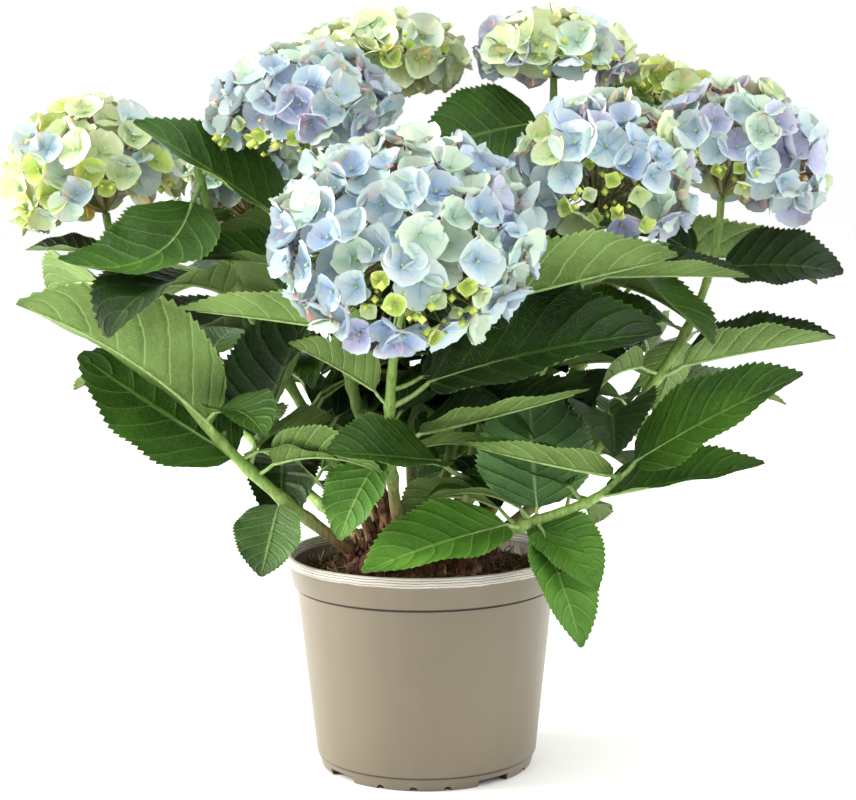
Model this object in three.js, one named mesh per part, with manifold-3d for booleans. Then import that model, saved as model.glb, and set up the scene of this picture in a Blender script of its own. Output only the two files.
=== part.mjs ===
// A mophead hydrangea in its nursery pot: a thin-walled plastic pot filled with peat, a woody
// crown that stands on the peat, and fourteen shoots that rise from it. Each shoot is a bare
// cane, a leafy stem with opposite pairs of leaves and, on ten of them, a domed flower head.
// Millimetres, +Z up, origin at the middle of the pot's flat underside, front towards -Y.
import * as THREE from 'three';
import { mergeVertices } from 'three/addons/utils/BufferGeometryUtils.js';
import Module from 'manifold-3d';

const wasm = await Module();
wasm.setup();

// ---- driving dimensions ----------------------------------------------------------------
const GAP = 0.3; // clearance between pieces that touch
const SLIVER = 0.06; // edges shorter than this are merged away
const POT_HEIGHT = 147;
const RIM_RADIUS = 95;
const BODY_TOP_RADIUS = 87.5;
const BODY_TOP = 124;
const FOOT_RADIUS = 72;
const WALL = 1.8;
const FLOOR_UNDERSIDE = 5.4; // height of the drainage channel under the pot
const HUB_RADIUS = 29; // flat disc in the middle of the underside
const POT_SIDES = 30;
const SOIL_TOP = 132;
const CROWN_REACH = 44; // the woody crown's flare along X
const OLD_BASE = [[-46, -34, 136], [-14, -30, 160]]; // a thick old branch that leans out of the crown
const STEM_FOOT_RADIUS = 4.4;
const STEM_TIP_RADIUS = 2.6;
const WOOD_RADIUS = 6.4;
const STEM_SIDES = 6;
const LEAF_STEPS = 24; // steps in which a leaf's midrib bends
const LEAF_ROWS = [0, 3, 8, 14, 20]; // of those, the ones that carry a cross-section
const PETIOLE_RADIUS = 2.1;
const LEAF_THICKNESS = 1 / 55; // of the blade's length
const DOME_UNDERSIDE = 0.62; // depth of a flower head below its widest ring, of its height above
const FLORET_RADIUS = 19.4;
const FLORET_REACH = 0.94; // of the flower head's radius
const CORE_REACH = 0.62;
const FLORET_ROOT = 0.42;
const FLORET_COVER = 1.4; // florets for a head as wide as one floret

// ---- colours ---------------------------------------------------------------------------
const finish = (color, roughness) => new THREE.MeshStandardMaterial({ color, roughness, metalness: 0 });

// ---- small helpers ---------------------------------------------------------------------
const DEGREE = Math.PI / 180;
const vector = (list) => new THREE.Vector3(...list);

// A repeatable draw between low and high: the same seed always gives the same number.
function draw(seed, low, high) {
  const wave = Math.sin(seed * 12.9898) * 43758.5453;
  return low + (high - low) * (wave - Math.floor(wave));
}

// The unit vector that points along azimuth turn and climbs at rise, both in degrees.
function aim(turn, rise) {
  const level = Math.cos(rise * DEGREE);
  return new THREE.Vector3(
    level * Math.cos(turn * DEGREE),
    level * Math.sin(turn * DEGREE),
    Math.sin(rise * DEGREE),
  );
}

function solidOf(geometry) {
  const bare = geometry.clone();
  bare.deleteAttribute('normal');
  bare.deleteAttribute('uv');
  const merged = mergeVertices(bare);
  const vertProperties = Float32Array.from(merged.attributes.position.array);
  const triVerts = Uint32Array.from(merged.index.array);
  return new wasm.Manifold(new wasm.Mesh({ numProp: 3, vertProperties, triVerts }));
}

// Moves every vertex of a geometry to where place(x, y, z) puts it.
function reshape(geometry, place) {
  const position = geometry.attributes.position;
  for (let i = 0; i < position.count; i += 1) {
    const moved = place(position.getX(i), position.getY(i), position.getZ(i), i);
    position.setXYZ(i, moved.x, moved.y, moved.z);
  }
  return geometry;
}

// One body of several solids, rid of slivers: what came loose is dropped.
function fuse(solids) {
  const whole = solids.reduce((sum, solid) => sum.add(solid));
  const bodies = whole.decompose();
  bodies.sort((a, b) => b.volume() - a.volume());
  return bodies[0].asOriginal().simplify(SLIVER);
}

function nodeOf(name, solid, material) {
  const { vertProperties, triVerts } = solid.getMesh();
  const geometry = new THREE.BufferGeometry();
  geometry.setAttribute('position', new THREE.BufferAttribute(vertProperties, 3));
  geometry.setIndex(new THREE.BufferAttribute(triVerts, 1));
  geometry.computeVertexNormals();
  const mesh = new THREE.Mesh(geometry, material);
  mesh.name = name;
  return mesh;
}

// ---- pot and peat ----------------------------------------------------------------------
const bodyRadius = (height) => THREE.MathUtils.lerp(75, BODY_TOP_RADIUS, (height - 8) / (BODY_TOP - 8));

function lathe(profile, sides) {
  // A profile that runs outwards along the bottom and back along the top faces outwards.
  const points = profile.map(([radius, height]) => new THREE.Vector2(radius, height));
  const geometry = new THREE.LatheGeometry(points, sides);
  return geometry.rotateX(Math.PI / 2);
}

function potWall() {
  const floorTop = FLOOR_UNDERSIDE + WALL;
  return lathe([
    [0, 0], [HUB_RADIUS, 0], [HUB_RADIUS + 4, FLOOR_UNDERSIDE], [64, FLOOR_UNDERSIDE],
    [66, 0], [FOOT_RADIUS, 0], [FOOT_RADIUS + 2.4, 4], [bodyRadius(9), 9],
    [bodyRadius(BODY_TOP), BODY_TOP], [89.4, 125], [93.6, 141], [RIM_RADIUS, 143],
    [RIM_RADIUS, 146], [93.8, POT_HEIGHT], [91.2, POT_HEIGHT], [90.2, 144.5],
    [87.2, 127], [bodyRadius(122) - WALL, 122], [bodyRadius(10) - WALL, 10],
    [bodyRadius(9) - WALL - 2, floorTop], [HUB_RADIUS + 3, floorTop], [HUB_RADIUS - 1, WALL], [0, WALL],
  ], POT_SIDES);
}

// Four wide drainage slots in the standing ring, and three small arches between each two.
function footCuts() {
  const cuts = [];
  const ringRadius = 70;
  for (let quarter = 0; quarter < 4; quarter += 1) {
    const slotTurn = quarter * 90 - 142;
    const slot = new THREE.BoxGeometry(18, 25, 2 * 4.8);
    slot.translate(ringRadius, 0, 0).rotateZ(slotTurn * DEGREE);
    cuts.push(solidOf(slot));
    for (const step of [27, 45, 63]) {
      const arch = new THREE.CylinderGeometry(3, 3, 18, 8);
      arch.rotateZ(Math.PI / 2).translate(ringRadius, 0, 0).rotateZ((slotTurn + step) * DEGREE);
      cuts.push(solidOf(arch));
    }
  }
  return cuts;
}

function pot() {
  return footCuts().reduce((wall, cut) => wall.subtract(cut), solidOf(potWall()));
}

// The peat fills the pot: level under the crown and lumpy towards the wall.
function soil() {
  const floorTop = FLOOR_UNDERSIDE + WALL + GAP;
  const side = (height) => bodyRadius(height) - WALL - GAP;
  const peat = lathe([
    [0, WALL + GAP], [HUB_RADIUS - 1.4, WALL + GAP], [HUB_RADIUS + 2.6, floorTop],
    [side(9) - 2, floorTop], [side(10), 10], [side(122), 122], [86.6, 129],
    [78, SOIL_TOP], [64, SOIL_TOP], [50, SOIL_TOP], [0, SOIL_TOP],
  ], POT_SIDES);
  return solidOf(reshape(peat, (x, y, z) => {
    const radius = Math.hypot(x, y);
    const lump = radius > 55 && z > 130 ? draw(Math.round(x) * 3 + Math.round(y), -2.5, 2.5) : 0;
    return new THREE.Vector3(x, y, z + lump);
  }));
}

// ---- limbs -----------------------------------------------------------------------------
// A tapering round limb along part of a curve, closed by a flat cut at each end.
function limb(curve, from, to, radiusAt, steps) {
  const back = new THREE.Vector3(0, 1, 0);
  const geometry = new THREE.CylinderGeometry(1, 1, 1, STEM_SIDES, steps);
  return solidOf(reshape(geometry, (x, y, z) => {
    const t = THREE.MathUtils.lerp(from, to, y + 0.5);
    const along = curve.getTangent(t);
    const side = back.clone().cross(along).normalize();
    const front = side.clone().cross(along);
    const radius = radiusAt(t);
    return curve.getPoint(t).addScaledVector(side, x * radius).addScaledVector(front, z * radius);
  }));
}

// The share of a curve that is one gap long at t.
function gapAt(curve, t) {
  const step = 0.001;
  return (GAP * step) / curve.getPoint(t + step).distanceTo(curve.getPoint(t));
}

const stemRadius = (t) => THREE.MathUtils.lerp(STEM_FOOT_RADIUS, STEM_TIP_RADIUS, t);
const woodRadius = (t) => Math.max(WOOD_RADIUS - 8 * t, 5.2);

// ---- leaves ----------------------------------------------------------------------------
// Half-width of a blade at s, from 0 at its base to 1 at its tip: ovate, widest before the middle.
function bladeProfile(s) {
  const full = 0.6;
  const slim = 0.85;
  const widest = full / (full + slim);
  return s <= 0 || s >= 1 ? 0 : (s / widest) ** full * ((1 - s) / (1 - widest)) ** slim;
}

// The pose that a leaf takes where nothing else is stated: lower leaves spread, upper ones rise.
function usualPose(shootIndex, pairIndex, side, place) {
  const seed = shootIndex * 37 + pairIndex * 7 + side * 3 + 1;
  const size = 1 - 0.9 * (place - 0.45) ** 2 - 0.1 * place;
  return {
    length: draw(seed, 132, 152) * size,
    rise: draw(seed + 0.1, 8, 22) + 18 * place,
    droop: draw(seed + 0.2, 40, 75),
    roll: draw(seed + 0.3, -22, 22),
    fold: draw(seed + 0.4, 12, 24),
    curl: draw(seed + 0.5, 0, 25),
    swing: draw(seed + 0.6, -25, 25),
    twist: draw(seed + 0.7, -15, 15),
    width: draw(seed + 0.8, 0.3, 0.34),
    stalk: draw(seed + 0.9, 0.17, 0.24),
  };
}

// The midrib's stations from base to tip, each with its centre and the blade's side and up axes.
function leafStations(node, pose) {
  const petiole = aim(pose.to, pose.rise + 12).multiplyScalar(pose.stalk * pose.length);
  const centre = node.clone().add(petiole);
  const stations = [];
  for (let i = 0; i <= LEAF_STEPS; i += 1) {
    const s = i / LEAF_STEPS;
    const along = aim(pose.to + pose.swing * s, pose.rise - pose.droop * s);
    const level = aim(pose.to + pose.swing * s + 90, 0);
    const above = along.clone().cross(level);
    const roll = (pose.roll + pose.twist * s) * DEGREE;
    stations.push({
      centre: centre.clone(),
      side: level.clone().multiplyScalar(Math.cos(roll)).addScaledVector(above, Math.sin(roll)),
      up: above.clone().multiplyScalar(Math.cos(roll)).addScaledVector(level, -Math.sin(roll)),
      halfWidth: pose.length * pose.width * bladeProfile(s),
    });
    const middle = (i + 0.5) / LEAF_STEPS;
    const heading = aim(pose.to + pose.swing * middle, pose.rise - pose.droop * middle);
    centre.addScaledVector(heading, pose.length / LEAF_STEPS);
  }
  return stations;
}

// How far out and up the blade's edge lies: the blade is folded at the midrib and curls beyond it.
function edgeOf(pose, halfWidth) {
  const fold = pose.fold * DEGREE;
  const curl = Math.max(pose.curl, 0.01) * DEGREE;
  return {
    out: (halfWidth * (Math.sin(fold + curl) - Math.sin(fold))) / curl,
    lift: (halfWidth * (Math.cos(fold) - Math.cos(fold + curl))) / curl,
  };
}

// Rows of kites from a start to an end: left edge, midrib above, right edge, midrib below. The upper
// and the lower side are split along the same diagonals, so a thin twisted blade never crosses itself.
function kiteRows(start, rows, end) {
  const corners = rows.flatMap(({ centre, side, up, out, lift, thick }) => [
    centre.clone().addScaledVector(side, -out).addScaledVector(up, lift),
    centre.clone().addScaledVector(up, thick / 2),
    centre.clone().addScaledVector(side, out).addScaledVector(up, lift),
    centre.clone().addScaledVector(up, -thick / 2),
  ]);
  const last = rows.length - 1;
  const at = (row, corner) => 1 + 4 * row + (corner % 4);
  const faces = [];
  for (let corner = 0; corner < 4; corner += 1) {
    faces.push(0, at(0, corner), at(0, corner + 1));
    faces.push(at(last, corner + 1), at(last, corner), corners.length + 1);
    for (let row = 0; row < last; row += 1) {
      const near = [at(row, corner + 1), at(row, corner)];
      const far = [at(row + 1, corner), at(row + 1, corner + 1)];
      if (corner < 2) faces.push(...near, far[1], near[1], ...far);
      else faces.push(...near, far[0], near[0], ...far);
    }
  }
  const geometry = new THREE.BufferGeometry().setFromPoints([start, ...corners, end]);
  return solidOf(geometry.setIndex(faces));
}

// A whole leaf, its petiole's root sunk in the stem. Spare makes it thicker, to test for room.
function leaf(node, pose, spare = 0) {
  const stations = leafStations(node, pose);
  const rows = LEAF_ROWS.map((i) => {
    const edge = edgeOf(pose, stations[i].halfWidth + spare);
    const blade = { ...stations[i], ...edge, thick: pose.length * LEAF_THICKNESS + 2 * spare };
    const stalk = { ...stations[i], out: PETIOLE_RADIUS + spare, lift: 0, thick: 2 * (PETIOLE_RADIUS + spare) };
    return i === 0 ? stalk : blade;
  });
  const rooted = { ...rows[0], centre: node.clone().lerp(stations[0].centre, 0.3) };
  const tip = stations[LEAF_STEPS].centre;
  return {
    whole: kiteRows(node, [rooted, ...rows], tip),
    blade: kiteRows(stations[0].centre.clone().lerp(stations[1].centre, 0.2), rows.slice(1), tip),
  };
}

// ---- flower heads ----------------------------------------------------------------------
// Two axes across a flower head, square to its own.
function acrossAxes(axis) {
  const first = new THREE.Vector3(0, 1, 0).cross(axis).normalize();
  return [first, axis.clone().cross(first)];
}

// The point of a flower head's dome at a slope from its top and a turn about its axis, both in
// radians, with the direction that it faces there.
function domePoint(bloom, axis, slope, turn, reach) {
  const [first, second] = acrossAxes(axis);
  const out = first.clone().multiplyScalar(Math.cos(turn)).addScaledVector(second, Math.sin(turn));
  const height = bloom.dome * (Math.cos(slope) < 0 ? DOME_UNDERSIDE : 1);
  const point = vector(bloom.centre)
    .addScaledVector(out, reach * bloom.radius * Math.sin(slope))
    .addScaledVector(axis, reach * bloom.radius * height * Math.cos(slope));
  const facing = out.clone().multiplyScalar(Math.sin(slope) * height).addScaledVector(axis, Math.cos(slope));
  return { point, facing: facing.normalize() };
}

// An ellipsoid of the flower head's own form, drawn in to a share of its reach.
function domeSolid(bloom, axis, reach, sides, rings) {
  const geometry = new THREE.SphereGeometry(1, sides, rings);
  return solidOf(reshape(geometry, (x, y, z) => {
    const slope = Math.acos(THREE.MathUtils.clamp(y, -1, 1));
    return domePoint(bloom, axis, slope, Math.atan2(-z, x), reach).point;
  }));
}

const floretCount = ({ radius }) => Math.round(FLORET_COVER * (radius / FLORET_RADIUS) ** 2);

// One floret as a shuttlecock: four sepals round a sunk centre, on a cone that ends in the core.
function floret(bloom, axis, index) {
  const slope = Math.acos(1 - ((index + 0.5) / floretCount(bloom)) * 1.42);
  const turn = index * 2.39996;
  const { point, facing } = domePoint(bloom, axis, slope, turn, FLORET_REACH);
  const radius = FLORET_RADIUS * draw(index + bloom.radius, 0.88, 1.04);
  const root = domePoint(bloom, axis, slope, turn, FLORET_ROOT).point;
  const [first, second] = acrossAxes(facing);
  const spin = draw(index * 3 + bloom.radius, 0, Math.PI / 2);
  const geometry = new THREE.ConeGeometry(1, 1, 8);
  return solidOf(reshape(geometry, (x, y, z) => {
    if (y > 0) return root.clone();
    const rim = Math.hypot(x, z);
    if (rim < 0.5) return point.clone().addScaledVector(facing, -0.22 * radius);
    const angle = Math.atan2(z, x);
    const lobe = radius * (0.84 + 0.16 * Math.cos(4 * angle));
    return point.clone()
      .addScaledVector(first, lobe * Math.cos(angle + spin))
      .addScaledVector(second, lobe * Math.sin(angle + spin));
  }));
}

// ---- the plant's own measurements ------------------------------------------------------
// Each shoot: where its foot stands on the crown, two points that draw its curve, the flower
// head or the tip at its end, and its pairs of leaves as [place along the shoot, azimuth,
// first leaf, second leaf]. A leaf that states nothing takes the usual pose; null has fallen.
// to is a leaf's azimuth and rise its climb; droop, swing and twist are what it gains in bend,
// turn and roll by its tip; fold and curl lift its edges; width and stalk are shares of length.
const shoots = [
  {
    name: 'front', foot: [-10, -16], lift: [-30, -40, 215], reach: [-22, -78, 280], wood: 0.15, bare: 0.3,
    bloom: { centre: [-10, -124, 360], radius: 86, dome: 0.74, tilt: 38, turn: -92 },
    pairs: [
      [0.40, -135, { rise: -44, droop: 20, length: 60, width: 0.42, roll: -6, swing: 0, fold: 12, stalk: 0.2 },
        { to: -22, rise: 14, droop: -4, length: 120, roll: 14, fold: 32, width: 0.26, stalk: 0.2, swing: 0 }],
      [0.54, -150, { rise: 34, droop: 10, length: 70, roll: 30, swing: 0, width: 0.33, fold: 30 },
        { to: -16, rise: 20, droop: 14, length: 156, roll: 38, swing: -6, fold: 10, width: 0.33, stalk: 0.2 }],
      [0.76, -166, { rise: 22, droop: 4, length: 122, roll: 12, swing: 4, fold: 24, width: 0.27, stalk: 0.15 },
        { to: -26, rise: 24, droop: 2, length: 134, roll: -24, swing: 16, fold: 30, width: 0.3, stalk: 0.4 }],
    ],
  },
  {
    name: 'left', foot: [-34, -8], lift: [-95, -60, 195], reach: [-185, -48, 250], bare: 0.22,
    bloom: { centre: [-221, 20, 398], radius: 61, dome: 1, tilt: 18, turn: 175 },
    pairs: [
      [0.30, -118, { rise: -62, droop: 0, length: 50, width: 0.55, roll: 0, swing: 0, stalk: 0.1, fold: 8 }, null],
      [0.40, 50, { rise: 58, droop: 0, length: 100, width: 0.42, roll: 0, swing: 0, fold: 20, curl: 50 },
        { to: 170, rise: 30, droop: -6, length: 124, width: 0.4, roll: -36, swing: 6, fold: 6, stalk: 0.1 }],
      [0.49, -163, { rise: 48, droop: 28, length: 150, width: 0.31, roll: 44, swing: -8, fold: 30, stalk: 0.08 },
        { to: 60, length: 100 }],
      [0.80, 120, {}, null],
      [0.92, 10, { length: 80, rise: 30 }, { to: 170, rise: 30, droop: 10, length: 56, roll: -10 }],
    ],
  },
  {
    name: 'upper_left', foot: [-20, -2], lift: [-32, -8, 230], reach: [-74, -8, 315], wood: 0.24, bare: 0.4,
    bloom: { centre: [-78, -10, 442], radius: 63, dome: 0.74, tilt: 12, turn: -110 },
    pairs: [
      [0.45, 40, {}, {}],
      [0.60, 130, {}, {}],
      [0.70, -165, { rise: 14, droop: 16, length: 82, roll: -20, swing: 14, fold: 22 }, { to: 20, length: 110 }],
      [0.75, -166, { rise: 42, droop: 6, length: 126, roll: -26, swing: 0, fold: 14, width: 0.33 },
        { to: -100, rise: -20, length: 80, droop: 20 }],
    ],
  },
  {
    name: 'top_back', foot: [-6, 18], lift: [-10, 50, 240], reach: [-20, 90, 370], bare: 0.3,
    bloom: { centre: [-28, 100, 476], radius: 63, dome: 0.6, tilt: 6, turn: 90 },
    pairs: [
      [0.33, -140, null, { length: 90 }],
      [0.44, 100, {}, {}],
      [0.57, 10, {}, {}],
      [0.72, 110, {}, {}],
      [0.86, -125, { rise: 6, droop: 20, length: 75 },
        { to: -100, rise: -6, droop: 24, length: 80, roll: 10, width: 0.38 }],
    ],
  },
  {
    name: 'top_right', foot: [12, 12], lift: [40, 40, 240], reach: [94, 72, 345], bare: 0.3,
    bloom: { centre: [94, 75, 480], radius: 56, dome: 0.64, tilt: 6, turn: -30 },
    pairs: [
      [0.32, -70, { length: 90 }, { length: 90 }],
      [0.44, 60, {}, {}],
      [0.57, -30, {}, {}],
      [0.74, 60, {}, {}],
      [0.91, -168, { rise: -6, droop: 18, length: 90, roll: -50, width: 0.42, fold: 8, stalk: 0.12 },
        { to: -10, rise: 0, droop: 16, length: 75, roll: 34, width: 0.42 }],
    ],
  },
  {
    name: 'right_centre', foot: [8, -14], lift: [36, -36, 220], reach: [102, -50, 290], bare: 0.22,
    bloom: { centre: [116, -55, 396], radius: 61, dome: 0.94, tilt: 22, turn: -60 },
    pairs: [
      [0.26, -126, { rise: 16, droop: 2, length: 104, roll: -24, swing: -12, fold: 16, width: 0.31, stalk: 0.47 },
        { to: 60, length: 100 }],
      [0.50, 120, {}, {}],
      [0.66, 30, {}, {}],
      [0.82, -4, { rise: 2, droop: 6, length: 92, roll: 14, fold: 34, width: 0.24, stalk: 0.2 }, { to: 120 }],
    ],
  },
  {
    name: 'far_right', foot: [26, 2], lift: [110, 10, 205], reach: [200, 20, 270], bare: 0.25,
    bloom: { centre: [213, 32, 405], radius: 64, dome: 0.96, tilt: 22, turn: 0 },
    pairs: [
      [0.42, 80, {}, {}],
      [0.58, -14, { rise: 14, droop: 6, length: 104, roll: 6, swing: -6, fold: 36, width: 0.3 }, { to: 150 }],
      [0.70, 110, { rise: -56, droop: 10, length: 60, width: 0.36 }, null],
      [0.84, -18, { rise: 8, droop: 20, length: 82, roll: 34, swing: -6, fold: 8, width: 0.42, stalk: 0.12 },
        { to: 160 }],
    ],
  },
  {
    name: 'back_right', foot: [22, 16], lift: [90, 80, 220], reach: [165, 120, 330], bare: 0.3,
    bloom: { centre: [172, 132, 450], radius: 46, dome: 0.7, tilt: 14, turn: 40 },
    pairs: [[0.33, 0, null, {}], [0.44, 90, {}, {}], [0.58, 0, {}, {}], [0.73, 100, {}, {}], [0.88, 20, {}, {}]],
  },
  {
    name: 'back_left', foot: [-22, 18], lift: [-60, 70, 230], reach: [-120, 130, 280], bare: 0.3,
    bloom: { centre: [-130, 150, 380], radius: 60, dome: 0.8, tilt: 30, turn: 130 },
    pairs: [[0.42, 120, {}, {}], [0.58, 30, {}, {}], [0.73, 130, {}, {}], [0.88, 40, {}, {}]],
  },
  {
    name: 'back', foot: [6, 26], lift: [20, 90, 230], reach: [45, 170, 270], bare: 0.3,
    bloom: { centre: [50, 190, 376], radius: 62, dome: 0.8, tilt: 34, turn: 80 },
    pairs: [[0.33, 120, {}, {}], [0.44, 60, {}, {}], [0.58, 150, {}, {}], [0.73, 60, {}, {}], [0.88, 150, {}, {}]],
  },
  {
    name: 'low_right', foot: [24, -14], lift: [45, -58, 182], reach: [110, -74, 180], bare: 0.3,
    tip: [128, -62, 208],
    pairs: [
      [0.40, -146, { rise: -4, droop: 12, length: 110, roll: -26, swing: -6, fold: 10, width: 0.32, stalk: 0.12 },
        { to: -36, rise: -14, droop: 30, length: 68, roll: 24, width: 0.38, stalk: 0.1 }],
      [0.47, -70, { rise: -40, droop: 20, length: 86, roll: 0, width: 0.3, stalk: 0.12 },
        { to: 110, rise: 66, droop: -10, length: 84, roll: 0, width: 0.5, fold: 6, stalk: 0.1 }],
      [0.72, -12, { rise: 12, droop: 0, length: 106, roll: 20, fold: 30, width: 0.25, stalk: 0.12 },
        { to: 150, length: 90 }],
      [0.97, -22, { rise: 34, droop: 10, length: 128, roll: 44, fold: 10, width: 0.3, stalk: 0.12 },
        { to: -158, rise: 12, droop: -4, length: 104, roll: 10, width: 0.24, fold: 24, stalk: 0.05 }],
    ],
  },
  {
    name: 'left_back', foot: [-28, 10], lift: [-60, 14, 220], reach: [-128, 14, 300], bare: 0.3,
    tip: [-150, 4, 408],
    pairs: [
      [0.36, -120, null, { length: 100 }],
      [0.50, 120, {}, {}],
      [0.66, 40, {}, {}],
      [0.82, 130, {}, {}],
      [0.97, -112, { rise: -60, droop: -84, length: 118, roll: -30, swing: -60, width: 0.32, stalk: 0.16 },
        { to: 70, length: 90 }],
    ],
  },
  {
    name: 'low_back_left', foot: [-30, 20], lift: [-75, 60, 175], reach: [-130, 100, 200], bare: 0.3,
    tip: [-165, 125, 260],
    pairs: [[0.52, 110, {}, {}], [0.72, 140, {}, {}], [0.97, 60, {}, {}]],
  },
  {
    name: 'low_back_right', foot: [34, 22], lift: [84, 58, 172], reach: [130, 110, 200], bare: 0.3,
    tip: [170, 130, 262],
    pairs: [[0.52, 70, {}, {}], [0.72, -10, { length: 112 }, {}], [0.97, 70, {}, {}]],
  },
];

// ---- growth ----------------------------------------------------------------------------
const WOOD = 0.09; // share of a shoot that is old wood and belongs to the crown, where none is stated
const LEAFY_END = 0.93; // where the leafy stem gives way to the flower head's stalk
// Other turns and climbs that a leaf tries, in degrees, where its own place is taken; where all
// of them are taken it tries again as a smaller leaf.
const SHIFTS = [
  [0, 0], [0, 5], [0, -5], [6, 0], [-6, 0], [0, 11], [0, -11], [13, 0], [-13, 0],
  [10, 14], [-10, 14], [20, -10], [-20, -10], [0, 24], [0, -24],
];
const SHRINKS = [1, 0.86, 0.72];
const TRIES = SHRINKS.flatMap((share) => SHIFTS.map(([turn, rise]) => ({ share, turn, rise })));

// Adds a shoot's curve and its flower head's axis.
function withCurve(shoot) {
  const axis = shoot.bloom ? aim(shoot.bloom.turn, 90 - shoot.bloom.tilt) : null;
  const end = shoot.bloom
    ? vector(shoot.bloom.centre).addScaledVector(axis, -0.6 * DOME_UNDERSIDE * shoot.bloom.dome * shoot.bloom.radius)
    : vector(shoot.tip);
  const foot = new THREE.Vector3(shoot.foot[0], shoot.foot[1], SOIL_TOP + 4);
  const curve = new THREE.CubicBezierCurve3(foot, vector(shoot.lift), vector(shoot.reach), end);
  return { wood: WOOD, ...shoot, axis, curve, leafyEnd: shoot.bloom ? LEAFY_END : 1 };
}

const grown = shoots.map(withCurve);

// The crown: a lobed, flat-cut flare that carries a short stub of old wood for each shoot.
function crown() {
  const flare = lathe([[0, -6], [38, -6], [36, 3], [26, 10], [0, 17]], 14);
  const lobed = solidOf(reshape(flare, (x, y, z) => {
    const lobe = 1 + 0.1 * Math.sin(5 * Math.atan2(y, x));
    return new THREE.Vector3((x * lobe * CROWN_REACH) / 38, y * lobe * 0.94, SOIL_TOP + GAP + z);
  }));
  const stubs = grown.map(({ curve, wood }) => limb(curve, 0, wood, woodRadius, 1 + Math.round(wood * 12)));
  const [from, to] = OLD_BASE.map(vector);
  const bend = from.clone().lerp(to, 0.5).setZ(to.z - 6);
  const oldBase = limb(new THREE.QuadraticBezierCurve3(from, bend, to), 0, 1, (t) => 10 - 3 * t, 3);
  const below = new THREE.BoxGeometry(200, 200, 20).translate(0, 0, SOIL_TOP + GAP - 10);
  return fuse([lobed, oldBase, ...stubs]).subtract(solidOf(below));
}

const cane = ({ curve, wood, bare }) => limb(curve, wood + gapAt(curve, wood), bare, stemRadius, 3);
const leafyStem = ({ curve, bare, leafyEnd }) => (
  limb(curve, bare + gapAt(curve, bare), leafyEnd, stemRadius, 6)
);
const flowerStalk = ({ curve }) => limb(curve, LEAFY_END + gapAt(curve, LEAFY_END), 1, stemRadius, 2);

// Solids that are already in place, with their boxes, for the leaves to keep clear of.
const taken = [];
function take(shootName, kind, solid) {
  const { min, max } = solid.boundingBox();
  const box = new THREE.Box3(vector([...min]), vector([...max]));
  taken.push({ shootName, kind, solid, box });
}

function touches(solid, skip) {
  const { min, max } = solid.boundingBox();
  const box = new THREE.Box3(vector([...min]), vector([...max]));
  return taken.some((other) => (
    !skip(other) && other.box.intersectsBox(box) && !solid.intersect(other.solid).isEmpty()
  ));
}

// A leaf in the first of its places that is free, or null. A posed leaf may tuck in under the
// florets and lie against its own shoot's leaves; the others keep clear of both.
function fittedLeaf(shoot, node, pose, posed) {
  const spare = 0.35;
  const head = posed ? 'heart' : 'bloom';
  const otherHead = posed ? 'bloom' : 'heart';
  const own = (other) => other.kind === otherHead || (other.shootName === shoot.name && other.kind !== head);
  const ownRoot = (other) => own(other) && (posed || other.kind !== 'blade');
  for (const { share, turn, rise } of TRIES) {
    const shifted = { ...pose, length: pose.length * share, to: pose.to + turn, rise: pose.rise + rise };
    const guard = leaf(node, shifted, spare);
    if (!touches(guard.blade, ownRoot) && !touches(guard.whole, own)) {
      const fitted = leaf(node, shifted);
      take(shoot.name, 'blade', fitted.blade);
      take(shoot.name, 'leaf', fitted.whole);
      return fitted.whole;
    }
  }
  return null;
}

// The leaves that a shoot is due: posed ones state more than their azimuth.
function dueLeaves(shoot, shootIndex) {
  return shoot.pairs.flatMap(([at, turn, ...leaves], pairIndex) => leaves.map((stated, side) => {
    if (!stated) return null;
    const place = pairIndex / Math.max(1, shoot.pairs.length - 1);
    const seed = shootIndex * 37 + pairIndex * 7 + side * 3 + 1;
    const posed = Object.keys(stated).length > 0;
    const stray = posed ? 0 : draw(seed + 0.95, -14, 14);
    const usual = { to: turn + 180 * side + stray, ...usualPose(shootIndex, pairIndex, side, place) };
    return { posed, node: shoot.curve.getPoint(at), pose: { ...usual, ...stated } };
  }).filter(Boolean));
}

const potSolid = pot();
const crownSolid = crown();
const parts = new Map();
take('pot', 'pot', potSolid);
take('crown', 'wood', crownSolid);
for (const shoot of grown) {
  parts.set(shoot.name, { cane: cane(shoot), stem: leafyStem(shoot), leaves: [] });
  take(shoot.name, 'cane', parts.get(shoot.name).cane);
  take(shoot.name, 'stem', parts.get(shoot.name).stem);
  if (shoot.bloom) {
    take(shoot.name, 'stalk', flowerStalk(shoot));
    take(shoot.name, 'bloom', domeSolid(shoot.bloom, shoot.axis, 1.03, 14, 10));
    take(shoot.name, 'heart', domeSolid(shoot.bloom, shoot.axis, 0.8, 14, 10));
  }
}
for (const wantPosed of [true, false]) {
  grown.forEach((shoot, shootIndex) => {
    for (const due of dueLeaves(shoot, shootIndex).filter(({ posed }) => posed === wantPosed)) {
      const fitted = fittedLeaf(shoot, due.node, due.pose, due.posed);
      if (fitted) parts.get(shoot.name).leaves.push(fitted);
    }
  });
}

// A flower head: its stalk, the core that the stalk ends in, and the florets that stand out of it.
function flowerHead(shoot) {
  const { bloom, axis } = shoot;
  const core = domeSolid(bloom, axis, CORE_REACH, 9, 5);
  const florets = Array.from({ length: floretCount(bloom) }, (_, i) => floret(bloom, axis, i));
  const own = ({ shootName, kind }) => (
    kind === 'bloom' || kind === 'heart' || (shootName === shoot.name && kind === 'stalk')
  );
  const clear = florets.filter((solid) => !touches(solid, own));
  clear.forEach((solid) => take(shoot.name, 'floret', solid));
  return fuse([core, flowerStalk(shoot), ...clear]);
}

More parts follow.
